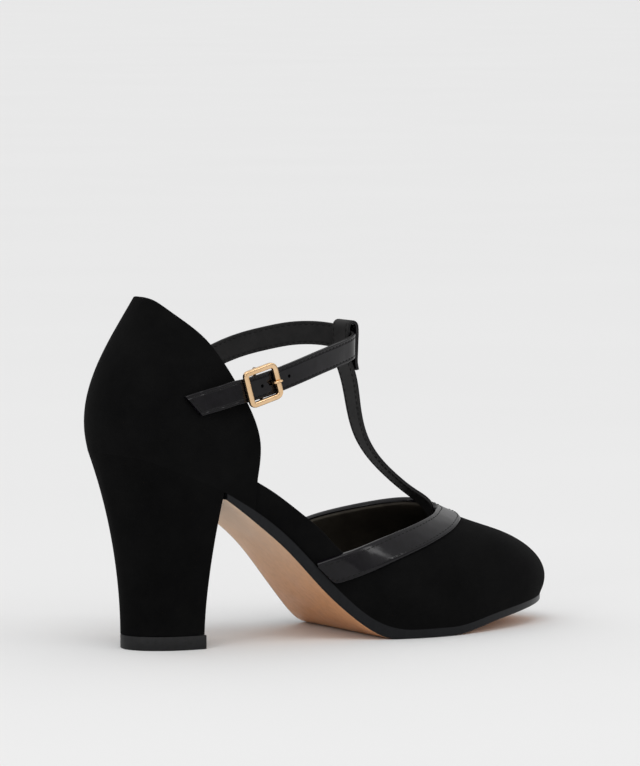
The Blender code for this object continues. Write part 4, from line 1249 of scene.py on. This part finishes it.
def make_buckle(sides, gold):
    """The frame and its centre bar, and the prong through the strap's hole."""
    middle, axes = buckle_axes(sides)
    long, tall = (BUCKLE_LONG - BUCKLE_BAR) / 2, (BUCKLE_TALL - BUCKLE_BAR) / 2
    corners = np.array([[-long, -tall], [long, -tall], [long, tall], [-long, tall]])
    ring = round_corners(corners, FRAME_CORNERS, 10) + (0.0, FRAME_UP)
    ring = np.column_stack([ring, np.full(len(ring), FRAME_LIFT)])
    frame_points, frame_faces = tube(
        middle + ring @ axes, BUCKLE_BAR / 2, 28, True, axes[2], FRAME_SQUARE, BUCKLE_DEEP / BUCKLE_BAR
    )
    leg = [(0.0, tall, FRAME_LIFT), (0.0, tall, -BAR_DEPTH + POST_CORNER),
           (0.0, tall - POST_CORNER, -BAR_DEPTH)]
    post = np.array(leg + [(0.0, -v, n) for _, v, n in leg[::-1]]) + (0.0, FRAME_UP, 0.0)
    bar_points, bar_faces = tube(middle + post @ axes, CENTRE_BAR, 20)
    faces = frame_faces + shifted(bar_faces, len(frame_points))
    piece("buckle_frame_gold", np.concatenate([frame_points, bar_points]), faces, [gold],
          ["buckle_frame"])
    turn = np.linspace(np.pi, 2 * np.pi, 12)
    reach = CENTRE_BAR + CLEARANCE + PRONG
    hook = np.column_stack([
        reach * np.cos(turn), np.zeros(12), -BAR_DEPTH + reach * np.sin(turn),
    ])
    rest = np.array([
        [2.3, 0.0, -2.0], [3.8, 0.0, -1.7], [4.6, 0.0, -0.5], [4.95, 0.0, 1.2],
        [5.0, 0.0, 2.8], [5.6, 0.0, 4.0], [6.7, 0.0, PRONG_REST], [8.5, 0.0, PRONG_REST],
    ])
    knots = np.concatenate([hook, rest])
    path = spline_path(knots, 0.3)
    tip = [0, len(path) - 3, len(path) - 1]
    radius = np.interp(np.arange(len(path)), tip, [PRONG, PRONG, PRONG * 0.6])
    points, faces = tube(middle + path @ axes, radius, 16)
    piece("buckle_prong_gold", points, faces, [gold], ["buckle_prong"])


def make_tab(sides, patent):
    """The tab on the counter and its loop round the buckle's centre bar."""
    middle, axes = buckle_axes(sides)
    centre, across, out, along = ankle_path(sides, STRAP_STEP)
    near = centre[:, 0] * (centre[:, 1] < 0) + 999 * (centre[:, 1] >= 0)
    keep = (near > TAB_REAR_X) & (near < BUCKLE_X - 0.9)
    centre, across, out, along = (part[keep] for part in (centre, across, out, along))
    reach = (centre - middle) @ axes[0]
    drop = np.interp(reach, [-8.0, -1.8], [TAB_DROP, BAR_DEPTH])
    centre = centre - out * drop[:, None]
    flat, flat_faces, _ = fine_ribbon(centre, across, out, TAB_WIDTH, TAB_THICK)
    turn = np.linspace(0.0, 2 * np.pi, 40, endpoint=False)
    inner, outer = CENTRE_BAR + CLEARANCE, CENTRE_BAR + CLEARANCE + TAB_THICK / 2
    half = TAB_WIDTH / 2
    section = [(inner, -half), (outer - TAB_EDGE, -half), (outer, -half + TAB_EDGE)]
    section += [(radius, -v) for radius, v in section[::-1]]
    points, faces, start = [flat], list(flat_faces), len(flat)
    for low, high in ((-half, -1.2), (1.2, half)):
        ring = []
        for radius, v in section:
            v = low + (v + half) / (2 * half) * (high - low)
            ring.append(np.column_stack([
                radius * np.cos(turn), np.full(40, v), -BAR_DEPTH + radius * np.sin(turn),
            ]))
        flat, loop = looped(np.array(ring))
        points.append(middle + flat @ axes)
        faces += shifted(loop, start)
        start += len(flat)
    piece("buckle_tab_patent", np.concatenate(points), faces, [patent], ["buckle_tab"])


def make_outsole(leather, edge_paint):
    """The sole: tan underneath, its edge painted black, from the breast to the toe."""
    stations = np.concatenate([
        np.linspace(station_at(BREAST_X + CLEARANCE), station_at(FINE_TOE_X), 130),
        eased(station_at(FINE_TOE_X), 1.0, 26, "end")[1:],
    ])
    halves = []
    for side in (LATERAL, MEDIAL):
        wall = outline(side, stations)
        rows = [np.column_stack([wall, seat_height(wall[:, 0])])]
        for t in np.linspace(0.0, np.pi / 2, 5):
            edge = inset(side, stations, SOLE_EDGE_ROUND * (1 - np.cos(t)))
            edge[0, 0] = wall[0, 0]
            lift = SOLE_EDGE_ROUND * (1 - np.sin(t))
            rows.append(np.column_stack([edge, tread_height(edge[:, 0]) + lift]))
        halves.append(rows)
    low = halves[LATERAL][-1], halves[MEDIAL][-1]
    high = halves[LATERAL][0], halves[MEDIAL][0]
    under = [low[0] + (low[1] - low[0]) * t for t in np.linspace(0, 1, 14)[1:-1]]
    for row in under:
        row[:, 2] = tread_height(row[:, 0])
    top = [high[1] + (high[0] - high[1]) * t for t in np.linspace(0, 1, 6)[1:-1]]
    loop = halves[LATERAL] + under + halves[MEDIAL][::-1] + top
    points = np.stack(loop, axis=1)
    rows, around = points.shape[:2]
    first = len(halves[LATERAL]) - 1
    picks = [0 if first <= j <= first + len(under) else 1 for j in range(around)] * (rows - 1)
    flat, faces = wrapped(points)
    picks += [1] * (len(faces) - len(picks))
    piece("outsole_tan_and_edge", flat, faces, [leather, edge_paint],
          ["outsole"], picks)


def make_insole(lining):
    """The sock inside, its edge softly rounded."""
    stations = eased(0.0, 1.0, 150)
    depth = WALL + OVERLAY + CLEARANCE
    rows = []
    for distance, below in ((0.0, INSOLE_THICK), (0.0, 0.6), (0.25, 0.15), (0.7, 0.0)):
        lift = INSOLE_THICK - below
        row = []
        for side in (LATERAL, MEDIAL):
            edge = inset(side, stations, depth + distance)
            row.append(np.column_stack([edge, seat_height(edge[:, 0]) + CLEARANCE + lift]))
        for end in (0, -1):
            row[0][end] = row[1][end] = (row[0][end] + row[1][end]) / 2
        rows.append(row)
    top = [rows[-1][0] + (rows[-1][1] - rows[-1][0]) * t for t in np.linspace(0, 1, 12)[1:-1]]
    loop = [row[0] for row in rows] + top + [row[1] for row in rows[::-1]]
    points = np.stack(loop, axis=1)
    flat, faces = wrapped(points)
    piece("insole_sock", flat, faces, [lining], ["insole"])


def make_heel(suede, rubber):
    """The covered block heel and the rubber top piece under it."""
    around = 121
    half = around // 2
    stations = eased(0.0, station_at(BREAST_X), half + 1, "start")
    top = np.concatenate([outline(LATERAL, stations)[::-1], outline(MEDIAL, stations)[1:]])
    top[0, 0] = top[-1, 0] = BREAST_X
    bottom = lift_outline(around)
    low = LIFT_THICK + CLEARANCE
    power = 1.85 - 0.3 * np.clip(np.abs(np.linspace(-1, 1, around)) * 1.6 - 0.6, 0, 1)
    rings = []
    for level in np.linspace(0.0, 1.0, 44):
        blend = (1 - (1 - level) ** power)[:, None]
        xy = top + (bottom - top) * blend
        z = seat_height(top[:, 0]) * (1 - level) + low * level
        rings.append(np.column_stack([xy, z]))
    rings = np.array(rings)
    breast = np.linspace(0, 1, 16)[1:-1]
    front = np.stack([rings[:, -1] + (rings[:, 0] - rings[:, -1]) * t for t in breast], axis=1)
    rings = np.concatenate([rings, front], axis=1)
    rings = rounded_breast(rings, around)
    flat, faces = wrapped(rings)
    piece("heel_block_suede", flat, faces, [suede], ["heel_block"])
    tread = lift_outline(around)
    front = np.stack([tread[-1] + (tread[0] - tread[-1]) * t for t in breast])
    tread = np.concatenate([tread, front])
    centre = np.array([32.0, 0.0])
    rings = []
    foot = ((LIFT_EDGE, 0.0), (0.0, LIFT_EDGE))
    head = ((0.0, LIFT_THICK - LIFT_TOP_EDGE), (LIFT_TOP_EDGE, LIFT_THICK))
    for inset_by, z in foot + head:
        rings.append(np.column_stack([tread - unit(tread - centre) * inset_by, np.full(len(tread), z)]))
    flat, faces = wrapped(rings)
    piece("heel_top_piece_rubber", flat, faces, [rubber], ["heel_top_piece"])


def rounded_breast(rings, around):
    """The heel's rings with the two upright corners at the breast eased."""
    made = rings.copy()
    for corner in (0, around - 1):
        for _ in range(2):
            before, after = made[:, corner - 1].copy(), made[:, (corner + 1) % rings.shape[1]].copy()
            made[:, corner] = (before + 2 * made[:, corner] + after) / 4
    return made


def make_stage():
    """A wide pale floor."""
    made, tree, shader = material("pale floor", (0.80, 0.80, 0.80), 0.9, Specular_IOR_Level=0.0)
    vary(tree, shader, "Base Color", noise(tree, 3.0, 2.0), [(0.3, 0.795), (0.7, 0.805)])
    mesh = bpy.data.meshes.new("floor")
    corners = [(x * FLOOR_HALF, y * FLOOR_HALF, 0) for x, y in ((-1, -1), (1, -1), (1, 1), (-1, 1))]
    mesh.from_pydata(corners, [], [(0, 1, 2, 3)])
    mesh.materials.append(made)
    floor = add_object("floor", mesh)


def add_light(name, kind, place, energy):
    """A light that looks at the shoe, as its data."""
    data = bpy.data.lights.new(name, kind)
    data.energy = energy
    lamp = add_object(name, data)
    lamp.location = place
    lamp.rotation_euler = (Vector(LIGHT_TARGET) - Vector(place)).to_track_quat("-Z", "Y").to_euler()
    return data


def make_lights():
    """A bright even room, one broad key from above and two strips for the patent's gloss."""
    world = bpy.data.worlds.new("room")
    world.use_nodes = True
    tree = world.node_tree
    where = tree.nodes.new("ShaderNodeTexCoord")
    parted = tree.nodes.new("ShaderNodeSeparateXYZ")
    tree.links.new(where.outputs["Generated"], parted.inputs["Vector"])
    sky = ramp(tree, parted.outputs["Z"], SKY)
    tree.links.new(sky, tree.nodes["Background"].inputs["Color"])
    tree.nodes["Background"].inputs["Strength"].default_value = ROOM_LIGHT
    bpy.context.scene.world = world
    key = add_light("key", "SUN", SUN_PLACE, KEY_LIGHT)
    key.angle = np.radians(SUN_ANGLE)
    for name, place, energy, wide, tall in STRIPS:
        strip = add_light(name, "AREA", place, energy)
        strip.shape = "RECTANGLE"
        strip.size, strip.size_y = wide, tall


def make_camera():
    """The camera of the photograph: low, from behind on the outer side."""
    data = bpy.data.cameras.new("camera")
    data.sensor_width = SENSOR
    data.lens = SENSOR * FOCAL_PIXELS / FRAME_TALL
    data.clip_end = 200.0
    camera = add_object("camera", data)
    camera.location = CAMERA_PLACE
    camera.rotation_euler = (np.radians(90.0 + CAMERA_PITCH), 0.0, np.radians(-CAMERA_YAW))
    bpy.context.scene.camera = camera


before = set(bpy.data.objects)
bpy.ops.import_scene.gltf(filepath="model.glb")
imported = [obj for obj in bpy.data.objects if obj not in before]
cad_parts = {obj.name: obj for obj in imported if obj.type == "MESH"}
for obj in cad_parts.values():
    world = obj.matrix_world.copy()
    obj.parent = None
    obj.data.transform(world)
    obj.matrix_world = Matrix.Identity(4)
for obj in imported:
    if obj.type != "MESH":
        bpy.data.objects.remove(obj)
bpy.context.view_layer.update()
bpy.context.scene.view_settings.view_transform = "Standard"

suede = suede_material("black suede", 0.0031, 0.0060)
heel_suede = suede_material("heel suede", 0.0026, 0.0051)
patent = patent_material()
lining = lining_material("dark lining", (0.042, 0.036, 0.028), (0.070, 0.060, 0.046))
strap_lining = lining_material("strap lining", (0.011, 0.0108, 0.011), (0.022, 0.021, 0.021))
sock = lining_material("insole sock", (0.014, 0.012, 0.010), (0.026, 0.022, 0.018))
leather = sole_material()
edge_paint = painted_material("edge paint", (0.0062, 0.0066, 0.0078), 0.34, 0.03)
rubber = painted_material("top piece rubber", (0.013, 0.013, 0.0135), 0.5, 0.05)
gold = gold_material()
thread = thread_material()

surfaces = [skin_samples(LATERAL), skin_samples(MEDIAL)]
both = tuple(np.concatenate(pair) for pair in zip(*surfaces))
make_upper(suede, lining)
make_trim(both, patent, thread)
make_ankle_strap(surfaces, patent, strap_lining, thread)
make_t_strap(patent, strap_lining, thread)
make_tab(surfaces, patent)
make_buckle(surfaces, gold)
make_outsole(leather, edge_paint)
make_insole(sock)
make_heel(heel_suede, rubber)
make_stage()
make_lights()
make_camera()
